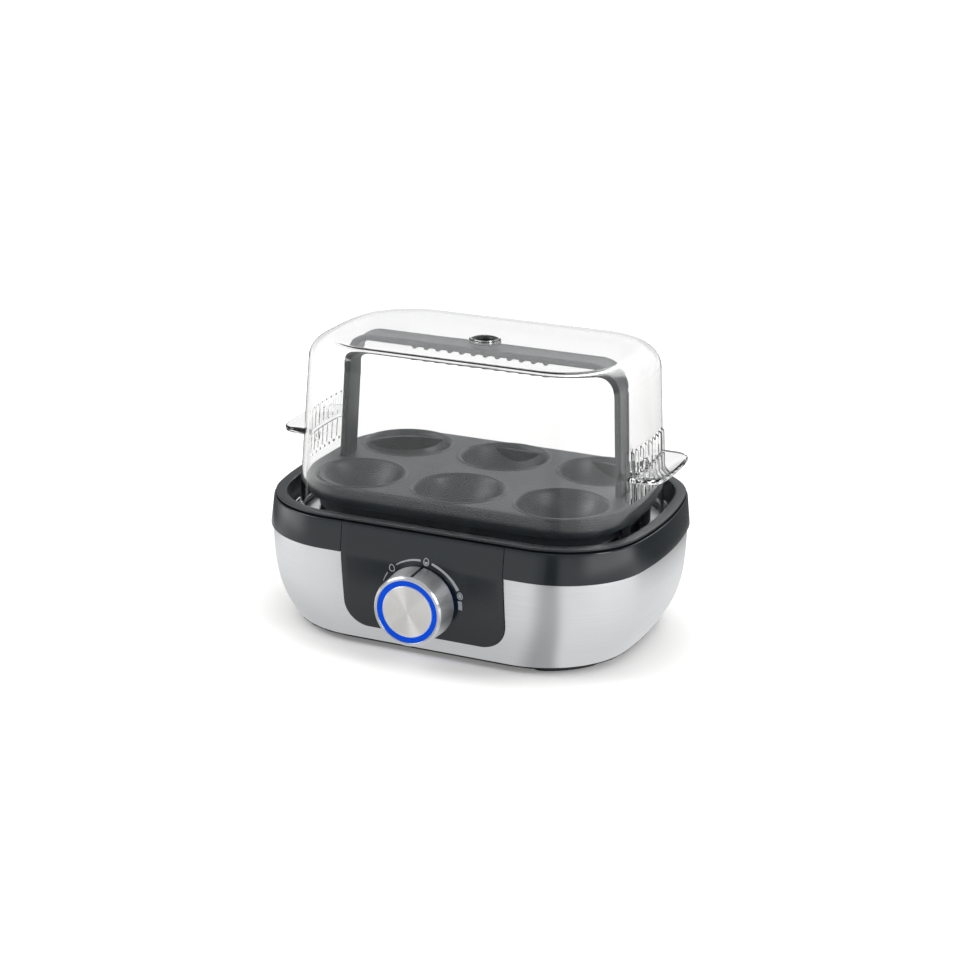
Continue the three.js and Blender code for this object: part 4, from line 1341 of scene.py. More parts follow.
    def water_pan(self) -> None:
        """The drawn steel pan: flange, bead and bowl."""
        pan = self.pan
        top, inner = pan.flange_bottom + pan.sheet, pan.bowl_inset + pan.sheet
        low, floor = pan.bowl_floor - pan.sheet, pan.bowl_floor
        turns = (math.pi * k / pan.bead_steps for k in range(pan.bead_steps + 1))
        bead = [
            (
                pan.bead_inset - pan.bead_half * math.cos(angle),
                top + pan.bead_height * math.sin(angle),
                0,
            )
            for angle in turns
        ]
        profile = rounded(
            [
                (pan.floor_inset, low, 0),
                (pan.bowl_inset + pan.draft, low, pan.bowl_round + 0.4),
                (pan.bowl_inset, pan.flange_bottom, 1.0),
                (pan.flange_inset, pan.flange_bottom, CRISP),
                (pan.flange_inset, top, CRISP),
                *bead,
                (inner, top, 1.0), (inner + pan.draft, floor, pan.bowl_round),
                (pan.floor_inset + pan.sheet, floor, 0),
            ],
            closed=False,
        )
        piece = make("heating_pan_bowl", skin(self.body.rim, profile, False), Look.PAN)
        settle(piece, "base", Look.PAN, "heating_pan")

    def feet(self) -> None:
        """The rubber feet."""
        form = Form()
        for x_sign, y_sign in ((-1, -1), (1, -1), (-1, 1), (1, 1)):
            form.add(self.foot.corner(x_sign, y_sign))
        piece = make("rubber_feet", form, Look.FOOT)
        corners = ("front_left", "front_right", "rear_left", "rear_right")
        settle(piece, "base", Look.FOOT, *(f"foot_{c}" for c in corners))

    def cord_gland(self) -> None:
        """The cord gland: a flanged bush through the back of the skirt."""
        gland, body = self.gland, self.body
        flange = body.side_reach(gland.height + gland.flange, self.skirt_step) + GAP
        seat = body.side_reach(
            gland.height - gland.flange, self.skirt_step + self.skirt_sheet
        )
        inner = seat - GAP - gland.nut_thickness
        back = flange + gland.flange_thickness
        profile = rounded(
            [
                (gland.bore, inner, EASED), (gland.neck, inner, EASED),
                (gland.neck, flange, KEEN), (gland.flange, flange, EASED),
                (gland.flange, (flange + back) / 2, SOFT), (gland.neck, back, SOFT),
                (gland.bore, back, 0.5),
            ]
        )
        form = turned(profile, TUBE_STEPS, level=True).moved(z=gland.height)
        piece = make("cord_gland_bush", form, Look.BLACK)
        settle(piece, "base", Look.BLACK, "cord_gland")

    def build(self) -> None:
        """Builds the visible pieces of the base."""
        self.skirt()
        self.band()
        self.rim()
        self.front()
        self.water_pan()
        self.feet()
        self.cord_gland()


# The dial


@dataclass(frozen=True)
class DialSizes:
    """The dial's turned pieces, by radius and place along Y."""

    face: float = -83.2
    back: float = -69.9
    front_radius: float = 16.4
    back_radius: float = 17.2
    shell_inner: float = 15.2
    lip_inner: float = 14.7
    lip_depth: float = 1.2
    light_outer: float = 14.4
    light_inner: float = 12.4
    light_face: float = -82.9
    button_radius: float = 12.1
    button_face: float = -83.0
    button_back: float = -81.0
    web_front: float = -79.5
    web_back: float = -77.7
    hub_radius: float = 5.3
    shaft_radius: float = 3.3
    core_back: float = -70.2
    stem_radius: float = 1.4
    stem_end: float = -54.4
    index_degrees: float = 5.0
    index_width: float = 1.0
    index_depth: float = 0.8
    index_gap: float = 0.15
    inlay_edge: float = 0.12
    inlay_bed: float = 0.05
    back_tuck: float = 0.6
    bevel: Point2 = (0.7, 0.9)
    index_start: float = 1.4
    rim_width: float = 1.8
    dish_depth: float = 0.12
    dish_rings: tuple[float, ...] = (0.0, 0.12, 0.3, 0.5, 0.7, 0.85, 0.95)


@dataclass
class Dial:
    """The dial: metal shell, index line, lit core and push button."""

    height: float
    sizes: DialSizes = DialSizes()

    def line(
        self, half: float, low: float, high: float, front: float, back: float
    ) -> Form:
        """Makes a bar along the top of the dial, turned to the index mark.

        Args:
            half: half its width.
            low: its lowest radius.
            high: its highest radius.
            front: where it starts along Y.
            back: where it ends.

        Returns:
            The form.
        """
        angle = math.radians(self.sizes.index_degrees)
        corners = [(-half, low), (half, low), (half, high), (-half, high)]
        outline = [
            (
                x * math.cos(angle) + r * math.sin(angle),
                r * math.cos(angle) - x * math.sin(angle),
            )
            for x, r in corners
        ]
        return slab(outline, front, back, facing).moved(z=self.height)

    def shell(self) -> None:
        """The metal sleeve with its front lip and the index slot."""
        s = self.sizes
        inward, deep = s.bevel
        profile = rounded(
            [
                (s.back_radius - KEEN, s.back, EASED),
                (s.back_radius, s.back - s.back_tuck, EASED),
                (s.front_radius + KEEN, s.face + deep, FULL),
                (s.front_radius - inward, s.face, 0.5), (s.lip_inner, s.face, 0.25),
                (s.lip_inner, s.face + s.lip_depth, 0),
                (s.shell_inner, s.face + s.lip_depth, 0), (s.shell_inner, s.back, KEEN),
            ],
            steps=5,
        )
        form = turned(profile, SHELL_STEPS, level=True).moved(z=self.height)
        piece = make("knob_shell_sleeve", form, Look.KNOB)
        low, high = s.front_radius - s.index_depth, s.back_radius + OVERRUN
        half, start = s.index_width / 2 + s.index_gap, s.face + s.index_start
        slot = self.line(half, low, high, start, s.back + OVERRUN)
        combine(piece, make("slot", slot, Look.BLACK))
        settle(piece, "knob", Look.KNOB, "knob_shell")

    def index(self) -> None:
        """The black inlay in the index slot."""
        s = self.sizes
        form = self.line(
            s.index_width / 2,
            s.front_radius - s.index_depth + s.inlay_bed,
            s.front_radius + KEEN,
            s.face + s.index_start + KEEN,
            s.back - GAP,
        )
        piece = eased(make("knob_index_inlay", form, Look.BLACK), width=s.inlay_edge)
        settle(piece, "knob", Look.BLACK, "knob_index")

    def core(self) -> None:
        """The translucent core whose front shows as the lit ring."""
        s = self.sizes
        outer, shoulder = s.shell_inner - GAP, s.face + s.lip_depth + GAP
        profile = rounded(
            [
                (s.shaft_radius, s.core_back, 0), (s.hub_radius, s.core_back, CRISP),
                (s.hub_radius, s.web_back, CRISP), (outer - s.rim_width, s.web_back, CRISP),
                (outer - s.rim_width, s.core_back, 0), (outer, s.core_back, CRISP),
                (outer, shoulder, KEEN), (s.light_outer, shoulder, KEEN),
                (s.light_outer, s.light_face, 0.35), (s.light_inner, s.light_face, 0.35),
                (s.light_inner, s.web_front, KEEN), (s.shaft_radius, s.web_front, 0),
            ]
        )
        form = turned(profile, DISC_STEPS, level=True).moved(z=self.height)
        piece = make("light_ring_core", form, Look.RING)
        settle(piece, "knob", Look.RING, "light_ring")

    def button(self) -> None:
        """The spun centre disc with its stem."""
        s = self.sizes
        dish = [
            (s.button_radius * share, s.button_face + s.dish_depth * (1 - share**2))
            for share in s.dish_rings
        ]
        profile = [
            *dish,
            (s.button_radius - 0.25, s.button_face + 0.02),
            (s.button_radius - 0.05, s.button_face + 0.15),
            (s.button_radius, s.button_face + 0.4), (s.button_radius, s.button_back),
            (s.stem_radius, s.button_back), (s.stem_radius, s.stem_end), (0.0, s.stem_end),
        ]
        form = turned(profile, DISC_STEPS, level=True, closed=False)
        form = form.moved(z=self.height)
        piece = make("knob_button_face", form, Look.FACE)
        settle(piece, "button", Look.FACE, "knob_button")

    def build(self) -> None:
        """Builds the dial's pieces."""
        self.shell()
        self.index()
        self.core()
        self.button()


@dataclass(frozen=True)
class PrintSizes:
    """The dial's printed scale: angles clockwise from the top, in degrees."""

    radius: float = 19.9
    thickness: float = 0.05
    sunk: float = 0.05
    eggs: tuple[float, ...] = (-45.0, 8.5, 73.5)
    egg_half_width: float = 1.45
    egg_half_height: float = 1.9
    egg_taper: float = 0.16
    egg_steps: int = 28
    fill_inset: float = 1.6
    fill_drop: float = 0.4
    line: float = 0.42
    arc_steps: int = 24
    arcs: tuple[tuple[float, float, float, float], ...] = (
        (-70.0, -55.0, 0.35, 0.5), (-36.5, 0.5, 0.55, 1.0), (16.5, 66.0, 1.0, 1.6),
    )
    bar: tuple[float, float, float, float] = (18.0, 19.9, 32.6, 28.2)


@dataclass
class DialPrint:
    """The printed scale round the dial: egg marks, a thickening arc and an end bar."""

    body: BodySizes
    height: float
    sizes: PrintSizes = PrintSizes()

    def lay(self, x: float, z: float, lift: float) -> Point3:
        """Puts a point of the front view on the panel, lifted off it."""
        return (x, -self.body.side_reach(z) - lift, z)

    def strip(self, inner: Outline, outer: Outline, closed: bool) -> Form:
        """Lays a thin layer of ink between two rows of points.

        Args:
            inner: the first row, in the front view.
            outer: the second row.
            closed: whether the rows join up.

        Returns:
            The form.
        """
        count = len(inner)
        form = Form()
        for lift in (-self.sizes.sunk, self.sizes.thickness):
            form.points += [self.lay(x, z, lift) for x, z in (*inner, *outer)]
        size = 2 * count
        for k in range(count if closed else count - 1):
            n = (k + 1) % count
            near = (k, n, count + n, count + k)
            form.faces.append(near)
            form.faces.append(tuple(i + size for i in near[::-1]))
            form.faces.append((k, n, n + size, k + size))
            form.faces.append((count + k, count + n, count + n + size, count + k + size))
        if not closed:
            for k in (0, count - 1):
                form.faces.append((k, count + k, count + k + size, k + size))
        form.uvs = [[(0.0, 0.0)] * len(face) for face in form.faces]
        return form

    def polar(self, degrees: float, radius: float) -> Point2:
        """A point at an angle clockwise from the dial's top."""
        angle = math.radians(degrees)
        return (radius * math.sin(angle), self.height + radius * math.cos(angle))

    def egg_curve(self, degrees: float, grow: float, top: float = 1.0) -> Outline:
        """Draws an egg's outline, pointed end up.

        Args:
            degrees: where it stands round the dial.
            grow: how far it is grown.
            top: the share of its height above which it is cut off.

        Returns:
            The outline.
        """
        s = self.sizes
        x, z = self.polar(degrees, s.radius)
        made = []
        for k in range(s.egg_steps):
            t = 2 * math.pi * k / s.egg_steps
            up = min(math.cos(t), top)
            narrow = 1 - s.egg_taper * math.cos(t)
            wide = (s.egg_half_width + grow) * math.sin(t) * narrow
            made.append((x + wide, z + (s.egg_half_height + grow) * up))
        return made

    def arc(self, start: float, end: float, first: float, last: float) -> Form:
        """Makes an arc that grows thicker.

        Args:
            start: the angle at which it starts.
            end: the angle at which it ends.
            first: its width at the start.
            last: its width at the end.

        Returns:
            The form.
        """
        s = self.sizes
        inner, outer = [], []
        for share in (k / s.arc_steps for k in range(s.arc_steps + 1)):
            half = (first + (last - first) * share) / 2
            angle = start + (end - start) * share
            inner.append(self.polar(angle, s.radius - half))
            outer.append(self.polar(angle, s.radius + half))
        return self.strip(inner, outer, closed=False)

    def egg(self, order: int, degrees: float) -> Form:
        """Makes one egg mark: an outline, a half filled one or a full one.

        Args:
            order: its place in the row of eggs.
            degrees: where it stands round the dial.

        Returns:
            The form.
        """
        s = self.sizes
        inner = self.egg_curve(degrees, -s.line)
        form = self.strip(inner, self.egg_curve(degrees, 0.0), closed=True)
        if order:
            top = 0.0 if order == 1 else 1.0
            fill = self.egg_curve(degrees, -s.line * s.fill_inset, top)
            x, z = self.polar(degrees, s.radius)
            heart = [(x, z - s.fill_drop)] * len(fill)
            form.add(self.strip(heart, fill, closed=True))
        return form

    def build(self) -> None:
        """Builds the print as one piece."""
        form = Form()
        for arc in self.sizes.arcs:
            form.add(self.arc(*arc))
        for order, degrees in enumerate(self.sizes.eggs):
            form.add(self.egg(order, degrees))
        left, right, top, bottom = self.sizes.bar
        sides = ([(x, bottom), (x, top)] for x in (left, right))
        form.add(self.strip(*sides, closed=False))
        piece = make("dial_print", form, Look.INK)
        settle(piece, "base", Look.INK)


# The egg tray


@dataclass(frozen=True)
class TraySizes(Oblong):
    """The egg tray and its handle."""

    half_length: float = 80.0
    half_width: float = 50.5
    end_radius: float = 176.0
    corner_radius: float = 33.0
    top: float = 71.3
    bottom: float = 62.3
    wall: float = 2.2
    edge: float = 1.8
    deck_reach: float = 14.0
    skirt_inset: float = 5.0
    skirt_bottom: float = 56.2
    sunk: float = 0.6
    slot_top: float = 74.3
    cup_wall: float = 1.6
    cup_bottom: float = 60.0
    cup_edge: float = 0.3
    cup_steps: int = 10
    lip_drop: float = 0.7
    lip: tuple[Point2, ...] = (
        (0.0, -0.15), (0.4, 0.25), (0.9, 0.4), (1.4, 0.3), (1.9, -0.1), (1.9, -0.7)
    )
    hole_margin: float = 0.8
    mouth_margin: float = 0.35
    egg_radius: float = 22.5
    egg_half: float = 24.0
    egg_waist: float = 80.5
    pitch_x: float = 51.0
    pitch_y: float = 53.6
    foot_radius: float = 2.2
    foot_edge: float = 0.4
    foot_bottom: float = 53.7
    feet: tuple[Point2, ...] = ((-76.3, -14), (76.3, -14), (-76.3, 14), (76.3, 14))
    bow_top: float = 131.4
    bow_half_top: float = 69.7
    bow_half_bottom: float = 72.6
    bow_bottom: float = 62.6
    bow_half_width: float = 7.0
    bow_thickness: float = 3.0
    bow_bend: float = 14.0
    bend_steps: int = 16
    leg_heights: tuple[float, ...] = (75.0, 90.0, 105.0)
    bar_shares: tuple[float, ...] = (0.75, 0.5, 0.25, 0.0)
    channel_depth: float = 0.5
    channel_edge: Point2 = (1.5, 1.9)
    socket_wall: float = 1.9
    socket_bottom: float = 61.0
    socket_drop: float = 1.1
    tooth_count: int = 12
    tooth_pitch: float = 6.0
    tooth_width: float = 2.8
    tooth_height: float = 1.0
    tooth_root: float = 0.8
    tooth_margin: float = 0.6

    def egg_at(self, z: float) -> float:
        """Radius of an egg at a height in its seat."""
        drop = (self.egg_waist - z) / self.egg_half
        return self.egg_radius * math.sqrt(max(1 - drop * drop, 0.0))

    def seat_places(self) -> list[Place]:
        """Places of the six seats."""
        spots = ((column, row) for row in (-0.5, 0.5) for column in (-1, 0, 1))
        return [(x * self.pitch_x, y * self.pitch_y, 0.0, 0.0) for x, y in spots]


@dataclass
class Tray:
    """The lift-out tray: plate, seats, inner skirt, feet and handle."""

    repeater: Repeater
    sizes: TraySizes = TraySizes()

    def plate(self) -> None:
        """The tray's plate with its turned-down edge, open at the seats and the handle."""
        s = self.sizes
        ceiling = s.top - s.wall
        profile = rounded(
            [
                (s.deck_reach + 0.2, ceiling, 0), (s.wall, ceiling, FULL),
                (s.wall, s.bottom, BLUNT), (0.2, s.bottom, SOFT), (0.0, s.top, s.edge),
                (s.deck_reach, s.top, 0),
            ],
            steps=6,
            closed=False,
        )
        form = skin(s.rim, profile, closed=False)
        piece = make("egg_tray_plate", form, Look.TRAY)
        radius = s.egg_at(s.top) + s.hole_margin
        hole = rod(radius, s.cup_bottom, s.slot_top, SEAT_STEPS)
        template = make("hole", hole, Look.TRAY)
        holes = self.repeater.repeat("holes", template, Look.TRAY, s.seat_places())
        combine(piece, holes)
        combine(piece, self.slots())
        settle(piece, "tray", Look.TRAY, "egg_tray")

    def slots(self) -> bpy.types.Object:
        """Two cutters that leave room for the handle's legs."""
        s = self.sizes
        return self.sockets("slots", GAP, s.bow_bottom - GAP, s.slot_top)

    def sockets(
        self, name: str, margin: float, low: float, high: float
    ) -> bpy.types.Object:
        """Makes two blocks round the handle's legs.

        Args:
            name: the object's name.
            margin: how far they are grown.
            low: height of their bottom.
            high: height of their top.

        Returns:
            The object.
        """
        s = self.sizes
        lean = (s.bow_half_bottom - s.bow_half_top) / (s.bow_top - s.bow_bottom)
        inner = s.bow_half_top + lean * (s.bow_top - s.top) - s.bow_thickness - margin
        outer, half = s.bow_half_bottom + margin, s.bow_half_width + margin
        middle, reach = (inner + outer) / 2, (outer - inner) / 2
        signs = ((-1, -1), (1, -1), (1, 1), (-1, 1))
        corners = [(x * reach, y * half, 1.0) for x, y in signs]
        block = make(name, slab(rounded(corners), low, high, upright), Look.TRAY)
        places = [(-middle, 0.0, 0.0, 0.0), (middle, 0.0, 0.0, 0.0)]
        return self.repeater.repeat(name, block, Look.TRAY, places)

    def seats(self) -> None:
        """The six seat cups, each with a rolled lip."""
        s = self.sizes
        heights = levels(s.cup_bottom, s.top - s.lip_drop, s.cup_steps)
        inner = [(s.egg_at(z), z) for z in heights]
        narrow, low = inner[0][0], s.cup_bottom - s.cup_edge
        mouth = s.egg_at(s.top) + s.mouth_margin
        profile = [
            *((r + s.cup_wall, z) for r, z in inner[::-1]),
            (narrow + s.cup_wall - s.cup_edge, low), (narrow + s.cup_edge, low),
            *inner,
            *((mouth + out, s.top + up) for out, up in s.lip),
        ]
        template = make("seat", turned(profile, SEAT_STEPS), Look.TRAY)
        piece = self.repeater.repeat("egg_tray_seats", template, Look.TRAY, s.seat_places())
        settle(piece, "tray", Look.TRAY, "egg_tray")

    def underside(self) -> None:
        """The inner skirt, the handle's sockets and the four feet."""
        s = self.sizes
        root = s.top - s.wall + s.sunk
        profile = rounded(
            [
                (s.skirt_inset, s.skirt_bottom, 0.5), (s.skirt_inset, root, 0),
                (s.skirt_inset + s.wall, root, 0),
                (s.skirt_inset + s.wall, s.skirt_bottom, 0.5),
            ]
        )
        skirt = make("egg_tray_skirt", skin(s.rim, profile), Look.TRAY)
        settle(skirt, "tray", Look.TRAY, "egg_tray")
        margin, top = GAP + s.socket_wall, s.top - s.socket_drop
        socket = self.sockets("egg_tray_sockets", margin, s.socket_bottom, top)
        combine(socket, self.slots())
        settle(socket, "tray", Look.TRAY, "egg_tray")
        profile = [
            (0, s.foot_bottom), (s.foot_radius - s.foot_edge, s.foot_bottom),
            (s.foot_radius, s.foot_bottom + s.foot_edge), (s.foot_radius, root), (0, root),
        ]
        template = make("foot", turned(profile, PIN_STEPS, closed=False), Look.TRAY)
        places = [(x, y, 0, 0) for x, y in s.feet]
        feet = self.repeater.repeat("egg_tray_feet", template, Look.TRAY, places)
        settle(feet, "tray", Look.TRAY, "egg_tray")

    def bow_path(self) -> list[Place]:
        """Follows the handle's outer face from the right leg's foot to the left one's.

        Returns:
            x and z of each point and of the outward normal there.
        """
        s = self.sizes
        centre_x, centre_z = s.bow_half_top - s.bow_bend, s.bow_top - s.bow_bend
        lean = s.bow_half_top - s.bow_half_bottom
        slope = math.atan2(-lean, centre_z - s.bow_bottom)
        right = []
        for z in (s.bow_bottom, *s.leg_heights, centre_z - 1.0):
            share = (z - s.bow_bottom) / (centre_z - s.bow_bottom)
            x = s.bow_half_bottom + lean * share
            right.append((x, z, math.cos(slope), math.sin(slope)))
        for a in (math.pi / 2 * k / s.bend_steps for k in range(s.bend_steps + 1)):
            c, n = math.cos(a), math.sin(a)
            right.append((centre_x + s.bow_bend * c, centre_z + s.bow_bend * n, c, n))
        right += [(centre_x * share, s.bow_top, 0.0, 1.0) for share in s.bar_shares]
        return [*right, *((-x, z, -c, n) for x, z, c, n in right[-2::-1])]

    def bow(self) -> None:
        """The bow handle: a strip with a shallow channel along its outer face."""
        s = self.sizes
        half, thick, deep = s.bow_half_width, s.bow_thickness, s.channel_depth
        mouth, bed = (half - inset for inset in s.channel_edge)
        section = rounded(
            [
                (-half, 0, SOFT), (-mouth, 0, EASED), (-bed, -deep, EASED),
                (bed, -deep, EASED), (mouth, 0, EASED), (half, 0, SOFT),
                (half, -thick, FULL), (-half, -thick, FULL),
            ],
            steps=3,
        )
        path = self.bow_path()
        form = Form(
            [(x + out * c, y, z + out * n) for x, z, c, n in path for y, out in section]
        )
        wrap(form, lengths(section, True), lengths([p[:2] for p in path], False))
        form.uvs = [[(along, across) for across, along in face] for face in form.uvs]
        capped(form, len(section), lambda n: section[n % len(section)])
        piece = make("tray_handle_bow", form, Look.TRAY)
        settle(piece, "tray", Look.TRAY, "tray_handle")

    def teeth(self) -> None:
        """The grip teeth under the handle's bar."""
        s = self.sizes
        low, wide = s.bow_top - s.bow_thickness, s.tooth_width / 2
        half = s.bow_half_width - s.tooth_margin
        tooth = rounded(
            [
                (-wide, low + s.tooth_root, 0), (-wide, low, CRISP),
                (-wide / 2, low - s.tooth_height, BLUNT),
                (wide / 2, low - s.tooth_height, BLUNT), (wide, low, CRISP),
                (wide, low + s.tooth_root, 0),
            ]
        )
        template = make("tooth", slab(tooth, -half, half, facing), Look.TRAY)
        first = -(s.tooth_count - 1) / 2 * s.tooth_pitch
        places = [(first + k * s.tooth_pitch, 0, 0, 0) for k in range(s.tooth_count)]
        teeth = self.repeater.repeat("tray_handle_teeth", template, Look.TRAY, places)
        settle(teeth, "tray", Look.TRAY, "tray_handle")

    def build(self) -> None:
        """Builds the tray's pieces."""
        self.plate()
        self.seats()
        self.underside()
        self.bow()
        self.teeth()


# The hood


@dataclass(frozen=True)
class HoodSizes:
    """The clear hood, its tabs, ribs and vent."""

    bottom: float = 54.7
    top: float = 136.0
    half_length: tuple[float, float] = (84.2, 79.8)
    half_width: tuple[float, float] = (54.0, 50.0)
    end_radius: float = 180.0
    corner_radius: float = 35.5
    wall: float = 2.0
    edge: float = 0.6
    shoulder: float = 10.0
    shoulder_steps: int = 10
    side_steps: int = 6
    tab_z: float = 84.7
    tab_thickness: float = 2.5
    tab_half_width: float = 24.0
    tab_reach: float = 96.3
    tab_end_radius: float = 150.0
    tab_corner: float = 8.0
    tab_edge: float = 0.9
    tab_middle: float = 7.0
    rib_count: int = 9
    rib_pitch: float = 5.2
    rib_thickness: float = 1.5
    rib_depth: float = 1.4
    rib_bottom: float = 73.8
    rib_top: float = 98.4
    rib_chamfer: float = 1.1
    rib_round: float = 0.8
    rib_root: float = 0.6
    collar_radius: float = 7.4
    collar_height: float = 0.4
    bush_radius: float = 5.9
    bush_gap: float = 0.1
    hole_reach: float = 5.0
    bush_mouth: Point2 = (0.6, 1.2)
    edge_run: float = 0.5
    edge_rise: float = 0.08
    bore_radius: float = 3.8
    flange_radius: float = 7.6
    flange_thickness: float = 1.2

    def rise(self, z: float) -> float:
        """Share of the hood's height at a height."""
        return (z - self.bottom) / (self.top - self.bottom)

    def end(self, z: float) -> float:
        """Reach of the hood's ends at a height."""
        low, high = self.half_length
        return low + (high - low) * self.rise(z)

    def side(self, z: float) -> float:
        """Reach of the hood's sides at a height."""
        low, high = self.half_width
        return low + (high - low) * self.rise(z)

    def outline(self, z: float, inset: float) -> Outline:
        """The hood's outline at a height, moved in by an inset."""
        reach = (self.end(z), self.side(z))
        return Oblong(*reach, self.end_radius, self.corner_radius).rim(z, inset)

    def tab_outline(self, _z: float, inset: float) -> Outline:
        """Draws the plate that the tabs are cut from.

        Args:
            _z: the height, which changes nothing.
            inset: how far it is moved in.

        Returns:
            The outline.
        """
        return rounded_outline(
            self.tab_reach - inset,
            self.tab_half_width - inset,
            self.tab_end_radius,
            self.tab_corner - inset,
            bow_steps=4,
            corner_steps=10,
        )

    def wall_profile(self, inset: float, bottom: float, top: float) -> Outline:
        """Draws the wall from the bottom edge up, with its round shoulder.

        Args:
            inset: how far the wall is moved in.
            bottom: height at which it starts.
            top: height of the flat top.

        Returns:
            Points of (inset, height).
        """
        radius = self.shoulder - inset
        start = top - radius
        rising = levels(bottom, start, self.side_steps)[:-1]
        count = self.shoulder_steps
        turns = (math.pi / 2 * k / count for k in range(count + 1))
        shoulder = [
            (inset + radius * (1 - math.cos(a)), start + radius * math.sin(a))
            for a in turns
        ]
        return [*((inset, z) for z in rising), *shoulder]


@dataclass
class Hood:
    """The clear hood and the dark bush in its vent."""

    repeater: Repeater
    sizes: HoodSizes = HoodSizes()

    def hollow(self) -> Form:
        """The space inside the hood.

        Returns:
            The form.
        """
        s = self.sizes
        inside = s.wall_profile(s.wall, s.bottom - OVERRUN, s.top - s.wall)
        return skin(s.outline, inside, closed=False)

    def tabs(self) -> bpy.types.Object:
        """The two end tabs, cut from one plate across the hood.

        Returns:
            The object.
        """
        s = self.sizes
        low, high = s.tab_z, s.tab_z + s.tab_thickness
        profile = rounded(
            [
                (s.tab_middle, low, 0), (0, low, s.tab_edge), (0, high, s.tab_edge),
                (s.tab_middle, high, 0),
            ],
            closed=False,
        )
        form = skin(s.tab_outline, profile, closed=False)
        plate = make("clear_tabs", form, Look.CLEAR)
        return combine(plate, make("hollow", self.hollow(), Look.CLEAR))

    def ribs(self) -> bpy.types.Object:
        """The grip ribs of both ends, each set back to follow the bowed wall.

        Returns:
            The object.
        """
        s = self.sizes
        low, high = s.end(s.rib_bottom), s.end(s.rib_top)
        root, half = s.wall / 2, s.rib_thickness / 2
        corners = [
            (low - root, s.rib_bottom + s.rib_root, 0), (low, s.rib_bottom, 0),
            (low + s.rib_depth, s.rib_bottom + s.rib_chamfer, s.rib_round),
            (high + s.rib_depth, s.rib_top - s.rib_chamfer, s.rib_round),
            (high, s.rib_top, 0), (high - root, s.rib_top - s.rib_root, 0),
        ]
        rib = slab(rounded(corners), -half, half, facing)
        places = []
        for k in range(s.rib_count):
            y = (k - (s.rib_count - 1) / 2) * s.rib_pitch
            bow = s.end_radius - math.sqrt(s.end_radius**2 - y * y)
            places += [(-bow, y, 0.0, 0.0), (bow, y, 0.0, math.pi)]
        template = make("rib", rib, Look.CLEAR)
        return self.repeater.repeat("ribs", template, Look.CLEAR, places)

    def shell(self) -> None:
        """The hood's shell with its tabs, ribs and vent collar in one piece."""
        s = self.sizes
        outer = s.wall_profile(0.0, s.bottom + s.edge, s.top)
        inner = s.wall_profile(s.wall, s.bottom + s.edge, s.top - s.wall)
        run, rise, middle = s.edge_run, s.bottom + s.edge_rise, s.wall / 2
        edge = [(s.wall - run, rise), (middle, s.bottom), (run, rise)]
        profile = [*inner[::-1], *edge, *outer]
        form = skin(s.outline, profile, closed=False)
        piece = make("clear_hood_shell", form, Look.CLEAR)
        low, high, radius = s.top - middle, s.top + s.collar_height, s.collar_radius
        ring = [
            (0, low), (radius, low),
            (radius, s.top + KEEN), (radius - EASED, high), (0, high),
        ]
        collar = make("collar", turned(ring, TUBE_STEPS, closed=False), Look.CLEAR)
        combine(piece, collar, "UNION")
        start, end = s.top - s.hole_reach, s.top + s.hole_reach
        hole = rod(s.bush_radius + s.bush_gap, start, end, TUBE_STEPS)
        combine(piece, make("hole", hole, Look.CLEAR))
        combine(piece, self.ribs(), "UNION")
        combine(piece, self.tabs(), "UNION")
        settle(piece, "hood", Look.CLEAR, "clear_hood")

    def bush(self) -> None:
        """The dark bush in the steam vent."""
        s = self.sizes
        ceiling, (wide, deep) = s.top - s.wall - s.bush_gap, s.bush_mouth
        low, high = ceiling - s.flange_thickness, s.top + s.collar_height
        profile = rounded(
            [
                (s.bore_radius, low, BLUNT), (s.flange_radius, low, BLUNT),
                (s.flange_radius, ceiling, CRISP), (s.bush_radius, ceiling, KEEN),
                (s.bush_radius, high, BLUNT),
                (s.bore_radius + wide, high - CRISP, EASED),
                (s.bore_radius, high - deep, EASED),
            ]
        )
        piece = make("vent_bush_ring", turned(profile, TUBE_STEPS), Look.BLACK)
        settle(piece, "hood", Look.BLACK, "vent_bush")

    def build(self) -> None:
        """Builds the hood's pieces."""
        self.shell()
        self.bush()


# Nodes that keep their own shape


@dataclass(frozen=True)
class Carried:
    """Finishes of the nodes that are shown as they are, by the start of their names."""

    looks: tuple[tuple[Look, tuple[str, ...]], ...] = (
        (Look.SCREW, ("base_screw", "board_screw", "pan_screw")),
        (Look.SILICONE, ("pan_seal", "heater_lead")),
        (
            Look.ALUMINIUM,
            ("heat_spreader", "heating_element", "filter_capacitor", "rotary_encoder",
             "knob_shaft"),
        ),
        (Look.CERAMIC, ("thermostat", "terminal_block")),
        (Look.COPPER, ("thermal_fuse", "temperature_sensor")),
        (Look.BOARD, ("mains_board", "control_board")),
        (
            Look.BLACK,
            ("base_plate", "relay", "transformer", "buzzer", "gland_nut",
             "start_switch", "control_bracket"),
        ),
        (Look.RING, ("indicator_led",)),
    )

    def dress(self, nodes: dict[str, bpy.types.Object]) -> int:
        """Gives each such node its material.

        Args:
            nodes: the frame's nodes.

        Returns:
            How many nodes got one.
        """
        count = 0
        for name, node in nodes.items():
            for look, starts in self.looks:
                if name.startswith(starts):
                    node.data.materials.clear()
                    node.data.materials.append(look.material())
                    count += 1
        return count


# Camera and light


@dataclass(frozen=True)
class CameraSizes:
    """The photograph's viewpoint, in millimetres and degrees."""

    azimuth: float = 23.05
    elevation: float = 18.2
    roll: float = 1.1
    distance: float = 1000.0
    target: Point3 = (-1.15, 6.9, 66.95)
    lens: float = 79.2
    sensor: float = 36.0
    clip: Point2 = (0.05, 60.0)


